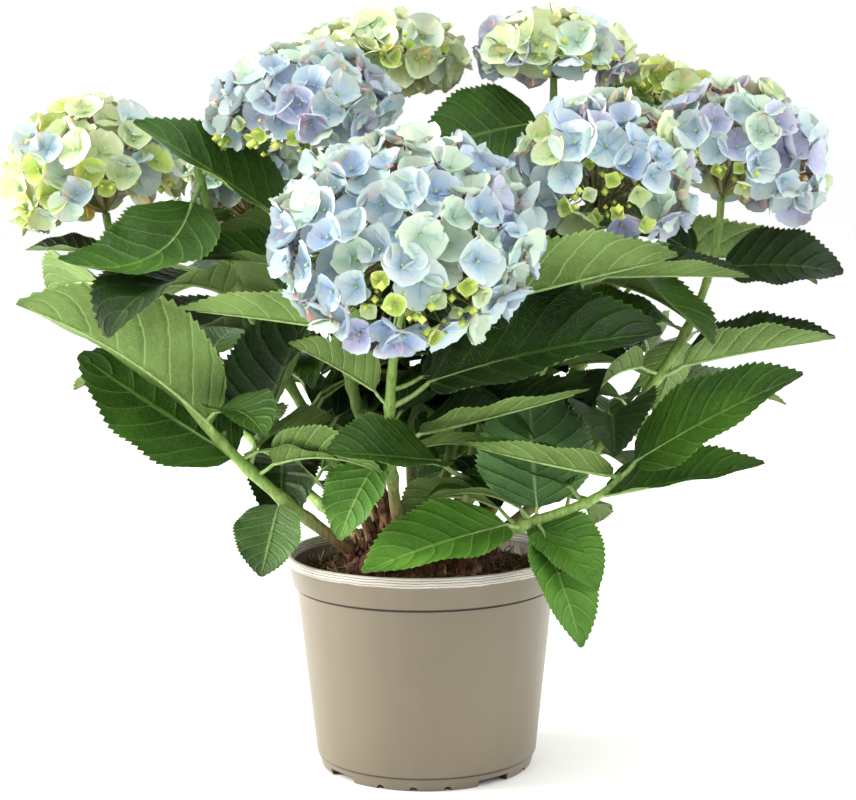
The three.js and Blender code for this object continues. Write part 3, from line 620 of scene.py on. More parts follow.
# Each shoot's foot on the peat, the two points that bend it, where its wood ends and its first
# leaf scar sits, its flower head or its tip, and its pairs of leaves: how far up a pair sits, the
# azimuth of its first leaf, and for each leaf what differs from the usual pose. None is no leaf.
SHOOTS = [
    dict(
        name="front", foot=(-10, -16), lift=(-30, -40, 215), reach=(-22, -78, 280), wood=0.15, bare=0.3,
        bloom=dict(centre=(-10, -124, 360), radius=86, dome=0.74, tilt=38, turn=-92),
        pairs=(
            (0.4, -135, posed(-44, 20, 60, width=0.42, roll=-6, swing=0, fold=12, stalk=0.2),
             posed(14, -4, 120, to=-22, roll=14, fold=32, width=0.26, stalk=0.2, swing=0)),
            (0.54, -150, posed(34, 10, 70, roll=30, swing=0, width=0.33, fold=30),
             posed(20, 14, 156, to=-16, roll=38, swing=-6, fold=10, width=0.33, stalk=0.2)),
            (0.76, -166, posed(22, 4, 122, roll=12, swing=4, fold=24, width=0.27, stalk=0.15),
             posed(24, 2, 134, to=-26, roll=-24, swing=16, fold=30, width=0.3, stalk=0.4)),
        ),
    ),
    dict(
        name="left", foot=(-34, -8), lift=(-95, -60, 195), reach=(-185, -48, 250), bare=0.22,
        bloom=dict(centre=(-221, 20, 398), radius=61, dome=1, tilt=18, turn=175),
        pairs=(
            (0.3, -118, posed(-62, 0, 50, width=0.55, roll=0, swing=0, stalk=0.1, fold=8), None),
            (0.4, 50, posed(58, 0, 100, width=0.42, roll=0, swing=0, fold=20, curl=50),
             posed(30, -6, 124, to=170, width=0.4, roll=-36, swing=6, fold=6, stalk=0.1)),
            (0.49, -163, posed(48, 28, 150, width=0.31, roll=44, swing=-8, fold=30, stalk=0.08),
             dict(to=60, length=100)),
            (0.8, 120, {}, None),
            (0.92, 10, dict(length=80, rise=30), posed(30, 10, 56, to=170, roll=-10)),
        ),
    ),
    dict(
        name="upper_left", foot=(-20, -2), lift=(-32, -8, 230), reach=(-74, -8, 315), wood=0.24, bare=0.4,
        bloom=dict(centre=(-78, -10, 442), radius=63, dome=0.74, tilt=12, turn=-110),
        pairs=(
            (0.45, 40, {}, {}), (0.6, 130, {}, {}),
            (0.7, -165, posed(14, 16, 82, roll=-20, swing=14, fold=22), dict(to=20, length=110)),
            (0.75, -166, posed(42, 6, 126, roll=-26, swing=0, fold=14, width=0.33),
             posed(-20, 20, 80, to=-100)),
        ),
    ),
    dict(
        name="top_back", foot=(-6, 18), lift=(-10, 50, 240), reach=(-20, 90, 370), bare=0.3,
        bloom=dict(centre=(-28, 100, 476), radius=63, dome=0.6, tilt=6, turn=90),
        pairs=(
            (0.33, -140, None, dict(length=90)),
            (0.44, 100, {}, {}), (0.57, 10, {}, {}), (0.72, 110, {}, {}),
            (0.86, -125, posed(6, 20, 75), posed(-6, 24, 80, to=-100, roll=10, width=0.38)),
        ),
    ),
    dict(
        name="top_right", foot=(12, 12), lift=(40, 40, 240), reach=(94, 72, 345), bare=0.3,
        bloom=dict(centre=(94, 75, 480), radius=56, dome=0.64, tilt=6, turn=-30),
        pairs=(
            (0.32, -70, dict(length=90), dict(length=90)),
            (0.44, 60, {}, {}), (0.57, -30, {}, {}), (0.74, 60, {}, {}),
            (0.91, -168, posed(-6, 18, 90, roll=-50, width=0.42, fold=8, stalk=0.12),
             posed(0, 16, 75, to=-10, roll=34, width=0.42)),
        ),
    ),
    dict(
        name="right_centre", foot=(8, -14), lift=(36, -36, 220), reach=(102, -50, 290), bare=0.22,
        bloom=dict(centre=(116, -55, 396), radius=61, dome=0.94, tilt=22, turn=-60),
        pairs=(
            (0.26, -126, posed(16, 2, 104, roll=-24, swing=-12, fold=16, width=0.31, stalk=0.47),
             dict(to=60, length=100)),
            (0.5, 120, {}, {}), (0.66, 30, {}, {}),
            (0.82, -4, posed(2, 6, 92, roll=14, fold=34, width=0.24, stalk=0.2), dict(to=120)),
        ),
    ),
    dict(
        name="far_right", foot=(26, 2), lift=(110, 10, 205), reach=(200, 20, 270), bare=0.25,
        bloom=dict(centre=(213, 32, 405), radius=64, dome=0.96, tilt=22, turn=0),
        pairs=(
            (0.42, 80, {}, {}),
            (0.58, -14, posed(14, 6, 104, roll=6, swing=-6, fold=36, width=0.3), dict(to=150)),
            (0.7, 110, posed(-56, 10, 60, width=0.36), None),
            (0.84, -18, posed(8, 20, 82, roll=34, swing=-6, fold=8, width=0.42, stalk=0.12),
             dict(to=160)),
        ),
    ),
    dict(
        name="back_right", foot=(22, 16), lift=(90, 80, 220), reach=(165, 120, 330), bare=0.3,
        bloom=dict(centre=(172, 132, 450), radius=46, dome=0.7, tilt=14, turn=40),
        pairs=(
            (0.33, 0, None, {}), (0.44, 90, {}, {}), (0.58, 0, {}, {}), (0.73, 100, {}, {}),
            (0.88, 20, {}, {}),
        ),
    ),
    dict(
        name="back_left", foot=(-22, 18), lift=(-60, 70, 230), reach=(-120, 130, 280), bare=0.3,
        bloom=dict(centre=(-130, 150, 380), radius=60, dome=0.8, tilt=30, turn=130),
        pairs=((0.42, 120, {}, {}), (0.58, 30, {}, {}), (0.73, 130, {}, {}), (0.88, 40, {}, {})),
    ),
    dict(
        name="back", foot=(6, 26), lift=(20, 90, 230), reach=(45, 170, 270), bare=0.3,
        bloom=dict(centre=(50, 190, 376), radius=62, dome=0.8, tilt=34, turn=80),
        pairs=(
            (0.33, 120, {}, {}), (0.44, 60, {}, {}), (0.58, 150, {}, {}), (0.73, 60, {}, {}),
            (0.88, 150, {}, {}),
        ),
    ),
    dict(
        name="low_right", foot=(24, -14), lift=(45, -58, 182), reach=(110, -74, 180), bare=0.3,
        tip=(128, -62, 208),
        pairs=(
            (0.4, -146, posed(-4, 12, 110, roll=-26, swing=-6, fold=10, width=0.32, stalk=0.12),
             posed(-14, 30, 68, to=-36, roll=24, width=0.38, stalk=0.1)),
            (0.47, -70, posed(-40, 20, 86, roll=0, width=0.3, stalk=0.12),
             posed(66, -10, 84, to=110, roll=0, width=0.5, fold=6, stalk=0.1)),
            (0.72, -12, posed(12, 0, 106, roll=20, fold=30, width=0.25, stalk=0.12),
             dict(to=150, length=90)),
            (0.97, -22, posed(34, 10, 128, roll=44, fold=10, width=0.3, stalk=0.12),
             posed(12, -4, 104, to=-158, roll=10, width=0.24, fold=24, stalk=0.05)),
        ),
    ),
    dict(
        name="left_back", foot=(-28, 10), lift=(-60, 14, 220), reach=(-128, 14, 300), bare=0.3,
        tip=(-150, 4, 408),
        pairs=(
            (0.36, -120, None, dict(length=100)),
            (0.5, 120, {}, {}), (0.66, 40, {}, {}), (0.82, 130, {}, {}),
            (0.97, -112, posed(-60, -84, 118, roll=-30, swing=-60, width=0.32, stalk=0.16),
             dict(to=70, length=90)),
        ),
    ),
    dict(
        name="low_back_left", foot=(-30, 20), lift=(-75, 60, 175), reach=(-130, 100, 200), bare=0.3,
        tip=(-165, 125, 260),
        pairs=((0.52, 110, {}, {}), (0.72, 140, {}, {}), (0.97, 60, {}, {})),
    ),
    dict(
        name="low_back_right", foot=(34, 22), lift=(84, 58, 172), reach=(130, 110, 200), bare=0.3,
        tip=(170, 130, 262),
        pairs=((0.52, 70, {}, {}), (0.72, -10, dict(length=112), {}), (0.97, 70, {}, {})),
    ),
]


def draw(seed, low, high):
    """A repeatable number between low and high: the same seed always gives the same one."""
    wave = math.sin(seed * 12.9898) * 43758.5453
    return low + (high - low) * (wave - math.floor(wave))


def aim(turn, rise):
    """Unit vectors along an azimuth and a climb in degrees, each a number or an array."""
    turn, rise = np.radians(turn), np.radians(rise)
    turn, rise = np.broadcast_arrays(turn, rise)
    return np.stack([np.cos(rise) * np.cos(turn), np.cos(rise) * np.sin(turn), np.sin(rise)], axis=-1)


def along_shoot(shoot, share):
    """Points of a shoot's curve, in millimetres, at shares of its length."""
    t = np.atleast_1d(share)[:, None]
    foot, lift, reach, end = (np.array(p, dtype=float) for p in shoot["curve"])
    return (1 - t) ** 3 * foot + 3 * (1 - t) ** 2 * t * lift + 3 * (1 - t) * t**2 * reach + t**3 * end


for shoot in SHOOTS:
    head = shoot.get("bloom")
    if head:
        shoot["axis"] = aim(head["turn"], 90 - head["tilt"])
        depth = 0.6 * UNDERSIDE * head["dome"] * head["radius"]
        end = np.array(head["centre"]) - shoot["axis"] * depth
    else:
        end = np.array(shoot["tip"], dtype=float)
    shoot["curve"] = ((*shoot["foot"], PEAT_LINE + FOOT_RISE), shoot["lift"], shoot["reach"], end)

stems = Heap()
for index, shoot in enumerate(SHOOTS):
    wood = shoot.get("wood", WOOD)
    shares = np.linspace(wood - 0.02, 1, 90)
    radii = STEM_FOOT + (STEM_TIP - STEM_FOOT) * shares
    for joint in [pair[0] for pair in shoot["pairs"]] + [shoot["bare"]]:
        radii = radii + JOINT_SWELL * np.exp(-(((shares - joint) * JOINT_SHARPNESS) ** 2))
    radii = radii + 0.12 * np.sin(shares * 70 + index)
    points, faces, where = tube(along_shoot(shoot, shares) * MM, radii * MM, 14)
    stems.add(points, faces, 0, stem=where * (1, 0.9) + (0, 0.1))

stem_skin = Finish("green_stem", Roughness=0.5)
spot = stem_skin.place()
rise = stem_skin.axis(stem_skin.node("UVMap", {"uv_map": "stem"}), "Y")
ribs = stem_skin.noise(stem_skin.stretched(spot, (420, 420, 60)), 1.0, 4)
specks = stem_skin.cells(stem_skin.stretched(spot, (420, 420, 210)), 1.0)
green = stem_skin.blend(ribs.step(0.3, 0.7), colour("6e9140"), colour("93b25c"))
ripe = stem_skin.blend(ribs.step(0.35, 0.65), colour("70563a"), colour("95784f"))
ripeness = 1 - (rise + stem_skin.noise(spot, 30, 3) * 0.12).step(0.16, 0.42)
green = stem_skin.blend(ripeness, green, ripe)
green = stem_skin.blend((1 - specks.step(0.12, 0.24)) * 0.7, green, colour("6b4632"))
stem_skin.dress(Base_Color=green, Roughness=0.42 + ribs * 0.2)
stem_skin.emboss(ribs + (1 - specks.step(0.1, 0.3)) * 0.8, 0.0004)
shoot_stems = stems.piece("shoot_stems", [stem_skin])
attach(shoot_stems, "root")
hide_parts(*[f"cane_{shoot['name']}" for shoot in SHOOTS])

# ---- Leaves ----------------------------------------------------------------------------
# Broad, toothed, glossy leaves on short stalks, in pairs. The upper side is quilted between
# sunken veins; the lower side is dull and pale with raised veins.
PACE = 24
TURNS = (
    (0, 0), (0, 5), (0, -5), (6, 0), (-6, 0), (0, 11), (0, -11), (13, 0), (-13, 0),
    (10, 14), (-10, 14), (20, -10), (-20, -10), (0, 24), (0, -24),
)
SHRINKS = (1, 0.86, 0.72)
TEETH = 25
ROWS = 2 * TEETH
LANES = 6
VEINS = 7.5
BLADE_THICKNESS = 0.55
FULL_LEAF = 110
STALK_RADIUS = 1.9
STALK_SHARES = (1.35, 1.1, 1.0, 0.95, 0.92, 0.9, 0.82)
STALK_SAG = 0.05
KEEL_ROWS = slice(3, 46, 3)
KEEL_SHARE = 0.72
KEEL_TIP = 0.16
TOOTH_DEPTH = 0.065
QUILTING = 0.034
RIPPLING = 0.05
LEAF_SHEET = 8
TIP_MATCH = 0.15


def blade_profile(s):
    """Half-width of a blade along its midrib: ovate, widest before the middle."""
    full, slim = 0.6, 0.85
    widest = full / (full + slim)
    s = np.clip(s, 0, 1)
    return (s / widest) ** full * ((1 - s) / (1 - widest)) ** slim


def seed_of(shoot_index, pair_index, side):
    """The number that all of a leaf's draws start from."""
    return shoot_index * 37 + pair_index * 7 + side * 3 + 1


def usual_pose(shoot_index, pair_index, side, place):
    """How a leaf lies by nature, drawn for each leaf. Place goes from the shoot's foot to its end."""
    seed = seed_of(shoot_index, pair_index, side)
    size = 1 - 0.9 * (place - 0.45) ** 2 - 0.1 * place
    return {
        "length": draw(seed, 132, 152) * size,
        "rise": draw(seed + 0.1, 8, 22) + 18 * place,
        "droop": draw(seed + 0.2, 40, 75),
        "roll": draw(seed + 0.3, -22, 22),
        "fold": draw(seed + 0.4, 12, 24),
        "curl": draw(seed + 0.5, 0, 25),
        "swing": draw(seed + 0.6, -25, 25),
        "twist": draw(seed + 0.7, -15, 15),
        "width": draw(seed + 0.8, 0.3, 0.34),
        "stalk": draw(seed + 0.9, 0.17, 0.24),
    }


def midrib(node, pose, steps):
    """The midrib's points from base to tip."""
    middle = (np.arange(steps) + 0.5) / steps
    heading = aim(pose["to"] + pose["swing"] * middle, pose["rise"] - pose["droop"] * middle)
    base = node + aim(pose["to"], pose["rise"] + 12) * pose["stalk"] * pose["length"]
    return np.concatenate([[base], base + np.cumsum(heading, axis=0) * pose["length"] / steps])


def grown_pose(shoot_name, node, pose):
    """The pose that the leaf took among its neighbours, or None where it found no room."""
    for shrink in SHRINKS:
        for turn, rise in TURNS:
            tried = {**pose, "length": pose["length"] * shrink}
            tried.update(to=pose["to"] + turn, rise=pose["rise"] + rise)
            tip = midrib(node, tried, PACE)[-1]
            if tips[shoot_name].find(tip)[2] < TIP_MATCH:
                return tried
    return None


tips = {}
for shoot in SHOOTS:
    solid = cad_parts[f"leaves_{shoot['name']}"].data
    tips[shoot["name"]] = KDTree(len(solid.vertices))
    for number, vertex in enumerate(solid.vertices):
        tips[shoot["name"]].insert(vertex.co / MM, number)
    tips[shoot["name"]].balance()


def blade_axes(pose):
    """The directions along, across and out of the blade at each row of its midrib."""
    s = np.arange(ROWS + 1) / ROWS
    heading = pose["to"] + pose["swing"] * s
    along = aim(heading, pose["rise"] - pose["droop"] * s)
    level = aim(heading + 90, 0)
    above = np.cross(along, level)
    roll = np.radians(pose["roll"] + pose["twist"] * s)[:, None]
    side = level * np.cos(roll) + above * np.sin(roll)
    return along, side, above * np.cos(roll) - level * np.sin(roll)


def blade(node, pose, seed):
    """A leaf's blade: an upper and a lower skin that meet at the toothed edge."""
    s = np.arange(ROWS + 1) / ROWS
    tooth = np.where(np.arange(ROWS + 1) % 2 == 1, 1.0, 0.0)
    tooth[[0, ROWS]] = 0
    rib = midrib(node, pose, ROWS)
    along, side, up = blade_axes(pose)
    half = pose["length"] * pose["width"] * blade_profile(s)
    lane = np.linspace(-1, 1, 2 * LANES + 1)
    outward = np.abs(lane)[None, :]
    fold = math.radians(pose["fold"])
    curl = math.radians(max(pose["curl"], 0.01))
    edge = outward ** 8
    reach = half[:, None] * (1 + TOOTH_DEPTH * (tooth[:, None] - 0.5) * edge)
    reach = reach * (1 - 0.01 * draw(seed, 0, 6) * edge)
    out = reach * (np.sin(fold + curl * outward) - math.sin(fold)) / curl
    lift = reach * (math.cos(fold) - np.cos(fold + curl * outward)) / curl
    vein = (s[:, None] - 0.26 * outward**1.15) * VEINS + draw(seed + 0.3, 0, 1)
    quilt = np.sin(np.pi * (vein % 1)) ** 2 * np.sin(np.pi * np.clip(outward, 0, 1)) ** 0.7
    ripple = np.sin(s[:, None] * draw(seed + 0.4, 14, 22) + np.sign(lane)[None, :] + seed) * outward**3
    lift = lift + half[:, None] * (QUILTING * quilt + RIPPLING * ripple)
    forward = (pose["length"] / ROWS) * (0.7 * tooth[:, None] * edge) - half[:, None] * 0.05 * outward**2
    forward = np.where((s[:, None] > 0) & (s[:, None] < 1), forward, 0)
    skin = (
        rib[:, None]
        + side[:, None] * (out * np.sign(lane)[None, :])[..., None]
        + up[:, None] * lift[..., None]
        + along[:, None] * forward[..., None]
    )
    thick = BLADE_THICKNESS * (1 - outward**4) * np.minimum(1, half[:, None] / 4)
    upper = skin + up[:, None] * thick[..., None] / 2
    lower = skin - up[:, None] * thick[..., None] / 2
    where = np.stack(np.broadcast_arrays(s[:, None], lane[None, :] / 2 + 0.5), axis=-1).reshape(-1, 2)
    return upper.reshape(-1, 3), lower.reshape(-1, 3), where


def halves(rows, columns):
    """The triangles of a grid of points, every square cut the same way."""
    grid = np.arange(rows * columns).reshape(rows, columns)
    near, far = (grid[:-1, :-1], grid[1:, :-1]), (grid[1:, 1:], grid[:-1, 1:])
    first = np.stack([near[0], near[1], far[0]], axis=-1).reshape(-1, 3)
    second = np.stack([near[0], far[0], far[1]], axis=-1).reshape(-1, 3)
    return np.concatenate([first, second])


def add_leaf(heap, shoot_index, number, node, pose, tone):
    """Adds a blade, its stalk and the rib that runs on under the blade."""
    upper, lower, where = blade(node, pose, number * 1.7 + shoot_index)
    cuts = halves(ROWS + 1, 2 * LANES + 1)
    heap.add(upper * MM, cuts[:, ::-1], tone, leaf=where, OFBake=baked(where, 3 * number))
    heap.add(lower * MM, cuts, UNDER, leaf=where, OFBake=baked(where, 3 * number + 1))
    rib = midrib(node, pose, ROWS)
    base = rib[0] - node
    share = np.linspace(0, 1, len(STALK_SHARES))
    sag = np.sin(np.pi * share)[:, None] * np.linalg.norm(base) * STALK_SAG
    stalk = node + base * share[:, None] + sag * aim(pose["to"], pose["rise"] - 78)
    keel = rib[KEEL_ROWS] - blade_axes(pose)[2][KEEL_ROWS] * BLADE_THICKNESS
    path = np.concatenate([stalk, keel])
    fade = np.linspace(1, KEEL_TIP, len(keel))
    scale = min(1.0, pose["length"] / FULL_LEAF) * STALK_RADIUS
    radii = scale * np.concatenate([STALK_SHARES, KEEL_SHARE * fade])
    points, faces, round_and_along = tube(path * MM, radii * MM, 7)
    heap.add(points, faces, STALK, leaf=round_and_along, OFBake=baked(round_and_along, 3 * number + 2))


def close_rims(piece):
    """Joins the upper and the lower skin of every blade along its edge."""
    pick(piece)
    bpy.ops.object.mode_set(mode="EDIT")
    bpy.ops.mesh.select_all(action="SELECT")
    bpy.ops.mesh.remove_doubles(threshold=0.000002)
    bpy.ops.object.mode_set(mode="OBJECT")


def baked(where, cell, cells=LEAF_SHEET):
    """A place of its own on the piece's bake sheet, which is cells wide."""
    corner = np.array([cell % cells, cell // cells])
    return (corner + 0.03 + 0.94 * np.asarray(where)) / cells


def leaf_finish(name, low, high, vein, gloss, relief, vein_share):
    """A leaf's skin: quilted between branching veins that follow the blade, with a painted highlight along
    its margin.
    """
    skin = Finish(name, Specular_IOR_Level=0.36)
    along = skin.node("UVMap", {"uv_map": "leaf"})
    s = skin.axis(along, "X")
    off = abs(skin.axis(along, "Y") - 0.5) * 2
    spot = skin.place()
    stray = skin.noise(spot, 90, 2)
    phase = ((s - (off ** 1.15) * 0.26) * VEINS + stray * 0.22).part()
    lateral = 1 - abs(phase - 0.5) * 2
    line = 1 - lateral.step(0.0, 0.1)
    rib = 1 - off.step(0.015, 0.06)
    net = 1 - skin.cells(skin.stretched(along, (34, 22, 1)), 1.0, "DISTANCE_TO_EDGE").step(0.0, 0.11)
    veins = line.maths("MAXIMUM", line, rib)
    cloud = skin.noise(spot, 22, 4)
    mottle = skin.noise(spot, 260, 3)
    tone = skin.blend(cloud.step(0.3, 0.72), colour(low), colour(high))
    tone = skin.blend(net * 0.16 * vein_share, tone, colour(vein))
    tone = skin.blend(veins * 0.75 * vein_share, tone, colour(vein))
    # painted highlight: the rolled margin is lighter, as where it catches the light
    margin = off.step(0.93, 1.0)
    tone = skin.blend(margin * 0.35, tone, colour(vein))
    skin.dress(Base_Color=tone, Roughness=gloss + mottle * 0.16)
    skin.emboss(lateral.step(0.0, 0.5) * relief - net * 0.25 * relief - rib * relief, 0.0011)
    return skin


# the deep tone is deep green and partly painted shade
leaf_skins = [
    leaf_finish("leaf_top_deep_and_shaded", "13270b", "244211", "597f38", 0.36, 0.7, 0.5),
    leaf_finish("leaf_top_mid", "264810", "3f6a17", "7fa44c", 0.38, 0.7, 0.6),
    leaf_finish("leaf_top_bright", "3a6818", "588c2a", "93bb5a", 0.42, 0.7, 0.7),
    leaf_finish("leaf_top_blue", "305426", "4f7a3c", "8cae72", 0.44, 0.7, 0.7),
    leaf_finish("leaf_underside", "567230", "78964c", "a9c67c", 0.62, -0.8, 0.9),
]
DEEP_AND_SHADED, MID, BRIGHT, BLUISH = range(4)
UNDER = 4
STALK = 5
stalk_skin = Finish("leaf_stalk", Roughness=0.45)
spot = stalk_skin.place()
ribs = stalk_skin.noise(stalk_skin.stretched(spot, (300, 300, 300)), 1.0, 3)
stalk_skin.dress(Base_Color=stalk_skin.blend(ribs.step(0.3, 0.7), colour("86a858"), colour("a9c67e")))
stalk_skin.emboss(ribs, 0.0003)

INNER_LEAVES = 4
INNER_REACH = (0.34, 0.62)
INNER_STRAY = 75
INNER_LENGTH = (58, 96)
INNER_RISE = (4, 40)
INNER_ROLL = (-40, 40)
STRAY = 14
DEEP_SHARE = 0.55
# The low leaves are young and bright; the deep tone is deep green and partly painted shade, for leaves in
# the shade of the heads. Those that aren't listed are deep or middling by draw.
TONES = {
    ("front", 0, 0): BRIGHT, ("front", 0, 1): DEEP_AND_SHADED, ("front", 1, 0): MID, ("front", 1, 1): DEEP_AND_SHADED,
    ("left", 0, 0): MID, ("left", 1, 1): MID, ("left", 1, 0): DEEP_AND_SHADED,
    ("low_right", 0, 0): BRIGHT, ("low_right", 0, 1): BRIGHT, ("low_right", 1, 0): BRIGHT,
    ("low_right", 1, 1): BLUISH, ("low_right", 2, 0): MID, ("low_right", 3, 0): MID,
    ("right_centre", 0, 0): MID, ("top_back", 4, 1): MID, ("top_right", 4, 0): MID,
    ("upper_left", 3, 0): MID, ("far_right", 3, 0): DEEP_AND_SHADED, ("left_back", 4, 0): MID,
}

for shoot_index, shoot in enumerate(SHOOTS):
    heap = Heap()
    number = 0
    for pair_index, (at, turn, *stated_pair) in enumerate(shoot["pairs"]):
        for side, stated in enumerate(stated_pair):
            if stated is None:
                continue
            place = pair_index / max(1, len(shoot["pairs"]) - 1)
            seed = seed_of(shoot_index, pair_index, side)
            stray = 0 if stated else draw(seed + 0.95, -STRAY, STRAY)
            usual = {"to": turn + 180 * side + stray, **usual_pose(shoot_index, pair_index, side, place)}
            usual_tone = DEEP_AND_SHADED if draw(seed + 0.33, 0, 1) < DEEP_SHARE else MID
            tone = TONES.get((shoot["name"], pair_index, side), usual_tone)
            node = along_shoot(shoot, at)[0]
            pose = grown_pose(shoot["name"], node, {**usual, **stated})
            if pose:
                add_leaf(heap, shoot_index, number, node, pose, tone)
                number += 1
    # side shoots that have barely grown fill the inside of the plant with smaller leaves
    for spray in range(INNER_LEAVES):
        seed = shoot_index * 53 + spray * 11 + 5
        at = draw(seed, *INNER_REACH)
        node = along_shoot(shoot, at)[0]
        inward = math.degrees(math.atan2(-node[1], -node[0]))
        pose = usual_pose(shoot_index, 9 + spray, 0, 0.4)
        pose["to"] = inward + draw(seed + 0.2, -INNER_STRAY, INNER_STRAY)
        pose["length"] = draw(seed + 0.4, *INNER_LENGTH)
        pose["rise"] = draw(seed + 0.6, *INNER_RISE)
        pose["roll"] = draw(seed + 0.8, *INNER_ROLL)
        add_leaf(heap, shoot_index, number, node, pose, DEEP_AND_SHADED if spray % 2 else MID)
        number += 1
    foliage = heap.piece(f"foliage_{shoot['name']}", [*leaf_skins, stalk_skin])
    close_rims(foliage)
    smooth(foliage, 70)
    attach(foliage, "root")
    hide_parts(f"leaves_{shoot['name']}")

# ---- Flower heads ----------------------------------------------------------------------
# Mophead blossom: scores of florets, each of four papery sepals round a bead of a bud, that
# stand out on thin stalks from a branching centre. Young florets are small, cupped and lime green.
FLORET = 16.4
FLORET_SIZES = (0.8, 1.06)
YOUNG_SIZES = (0.4, 0.68)
OPEN_BEND = (0.5, 1.5)
YOUNG_BEND = (1.2, 2.1)
BUD_RADIUS = (1.6, 3.4)
BUDS = 3
CROWDING = 6.4
COVER = 1.46
GOLDEN_TURN = 2.39996
FORK_REACH = 0.35
FORK_STEP = 3
FLORET_SINK = 0.45
YOUNG_LIME = 0.7
PETAL_SHEET = 36
BLUE, SKY, MINT, LAVENDER, LIME, CREAM, MAUVE = range(7)
# Each kind's colour at a sepal's claw, in its middle and along its rim.
PETAL_COLOURS = {
    "sepal_blue": ("8c9fca", "b1c4d7", "c7d5da"),
    "sepal_sky": ("a6b9d0", "c2d2d5", "d0dcd8"),
    "sepal_mint": ("b2c8b2", "c8d9c4", "d6e2cf"),
    "sepal_lavender": ("a4a1cd", "bfc0da", "d0d4de"),
    "sepal_lime": ("a3b944", "c4d768", "dce6a0"),
    "sepal_cream": ("bbca82", "d2dca8", "dfe7c2"),
    "sepal_mauve": ("b083c0", "c8a5d2", "e0cbe2"),
}
PEDICEL = len(PETAL_COLOURS)
BEAD = PEDICEL + 1
# Each head's shades as (shade, share), and where its young lime part lies: a direction and how
# far that part spreads over the head.
HEADS = {
    "front": (((BLUE, 0.38), (SKY, 0.44), (MINT, 0.12), (LAVENDER, 0.06)), (0.12, -0.62, -0.3), 0.42),
    "left": (((CREAM, 0.4), (SKY, 0.24), (MINT, 0.16), (LIME, 0.2)), (0.5, -0.5, -0.7), 0.75),
    "upper_left": (((BLUE, 0.3), (SKY, 0.52), (LAVENDER, 0.14), (MINT, 0.04)), (-0.3, -0.7, -0.65), 0.62),
    "top_back": (((LIME, 0.14), (CREAM, 0.58), (MINT, 0.28)), (0.5, -0.8, 0.3), 0.55),
    "top_right": (((LAVENDER, 0.3), (CREAM, 0.34), (MINT, 0.28), (SKY, 0.08)), (0.1, -0.95, -0.2), 0.42),
    "right_centre": (
        ((BLUE, 0.2), (SKY, 0.44), (MINT, 0.12), (LAVENDER, 0.16), (CREAM, 0.08)),
        (-0.15, -0.95, -0.25), 0.62,
    ),
    "far_right": (((SKY, 0.56), (MINT, 0.12), (LAVENDER, 0.22), (CREAM, 0.1)), (-0.6, -0.6, -0.55), 0.7),
    "back_right": (((LIME, 0.35), (CREAM, 0.65)), (0, -1, 0), 0.5),
    "back_left": (((BLUE, 0.25), (SKY, 0.5), (CREAM, 0.25)), (0, 0, -1), 0.5),
    "back": (((BLUE, 0.4), (SKY, 0.4), (LAVENDER, 0.2)), (0, 0, -1), 0.5),
}

# A few florets at the top of the upper left head have blushed mauve.
BLUSH_SIDE = np.array((0.32, -0.36, 0.87))
BLUSH_CLOSENESS = 0.93


def axes_across(axis):
    """Two directions square to an axis and to each other."""
    first = np.cross((0, 1, 0), axis)
    first /= np.linalg.norm(first)
    return first, np.cross(axis, first)


def dome_point(head, axis, slope, turn, reach):
    """A point of a head's dome, and the direction that it faces there."""
    first, second = axes_across(axis)
    out = first * math.cos(turn) + second * math.sin(turn)
    height = head["dome"] * (UNDERSIDE if math.cos(slope) < 0 else 1)
    point = (
        np.array(head["centre"])
        + out * reach * head["radius"] * math.sin(slope)
        + axis * reach * head["radius"] * height * math.cos(slope)
    )
    facing = out * math.sin(slope) * height + axis * math.cos(slope)
    return point, facing / np.linalg.norm(facing)


ALONG = np.linspace(0, 1, 5)
ACROSS = np.linspace(-1, 1, 5)
SEPAL_HALF = np.array([0.14, 0.54, 0.76, 0.74, 0.42])
SEPAL_GRID = np.arange(25).reshape(5, 5)
SEPAL_QUADS = np.stack(
    [SEPAL_GRID[:-1, :-1], SEPAL_GRID[1:, :-1], SEPAL_GRID[1:, 1:], SEPAL_GRID[:-1, 1:]], axis=-1
).reshape(-1, 4)
SEPAL_PLACES = np.stack([np.repeat(ALONG, 5), np.tile(ACROSS / 2 + 0.5, 5)], axis=-1)
BEAD_POINTS = np.array([(1, 0, 0), (0, 1, 0), (-1, 0, 0), (0, -1, 0), (0, 0, 1.1), (0, 0, -1)], dtype=float)
BEAD_FACES = [(0, 1, 4), (1, 2, 4), (2, 3, 4), (3, 0, 4), (1, 0, 5), (2, 1, 5), (3, 2, 5), (0, 3, 5)]


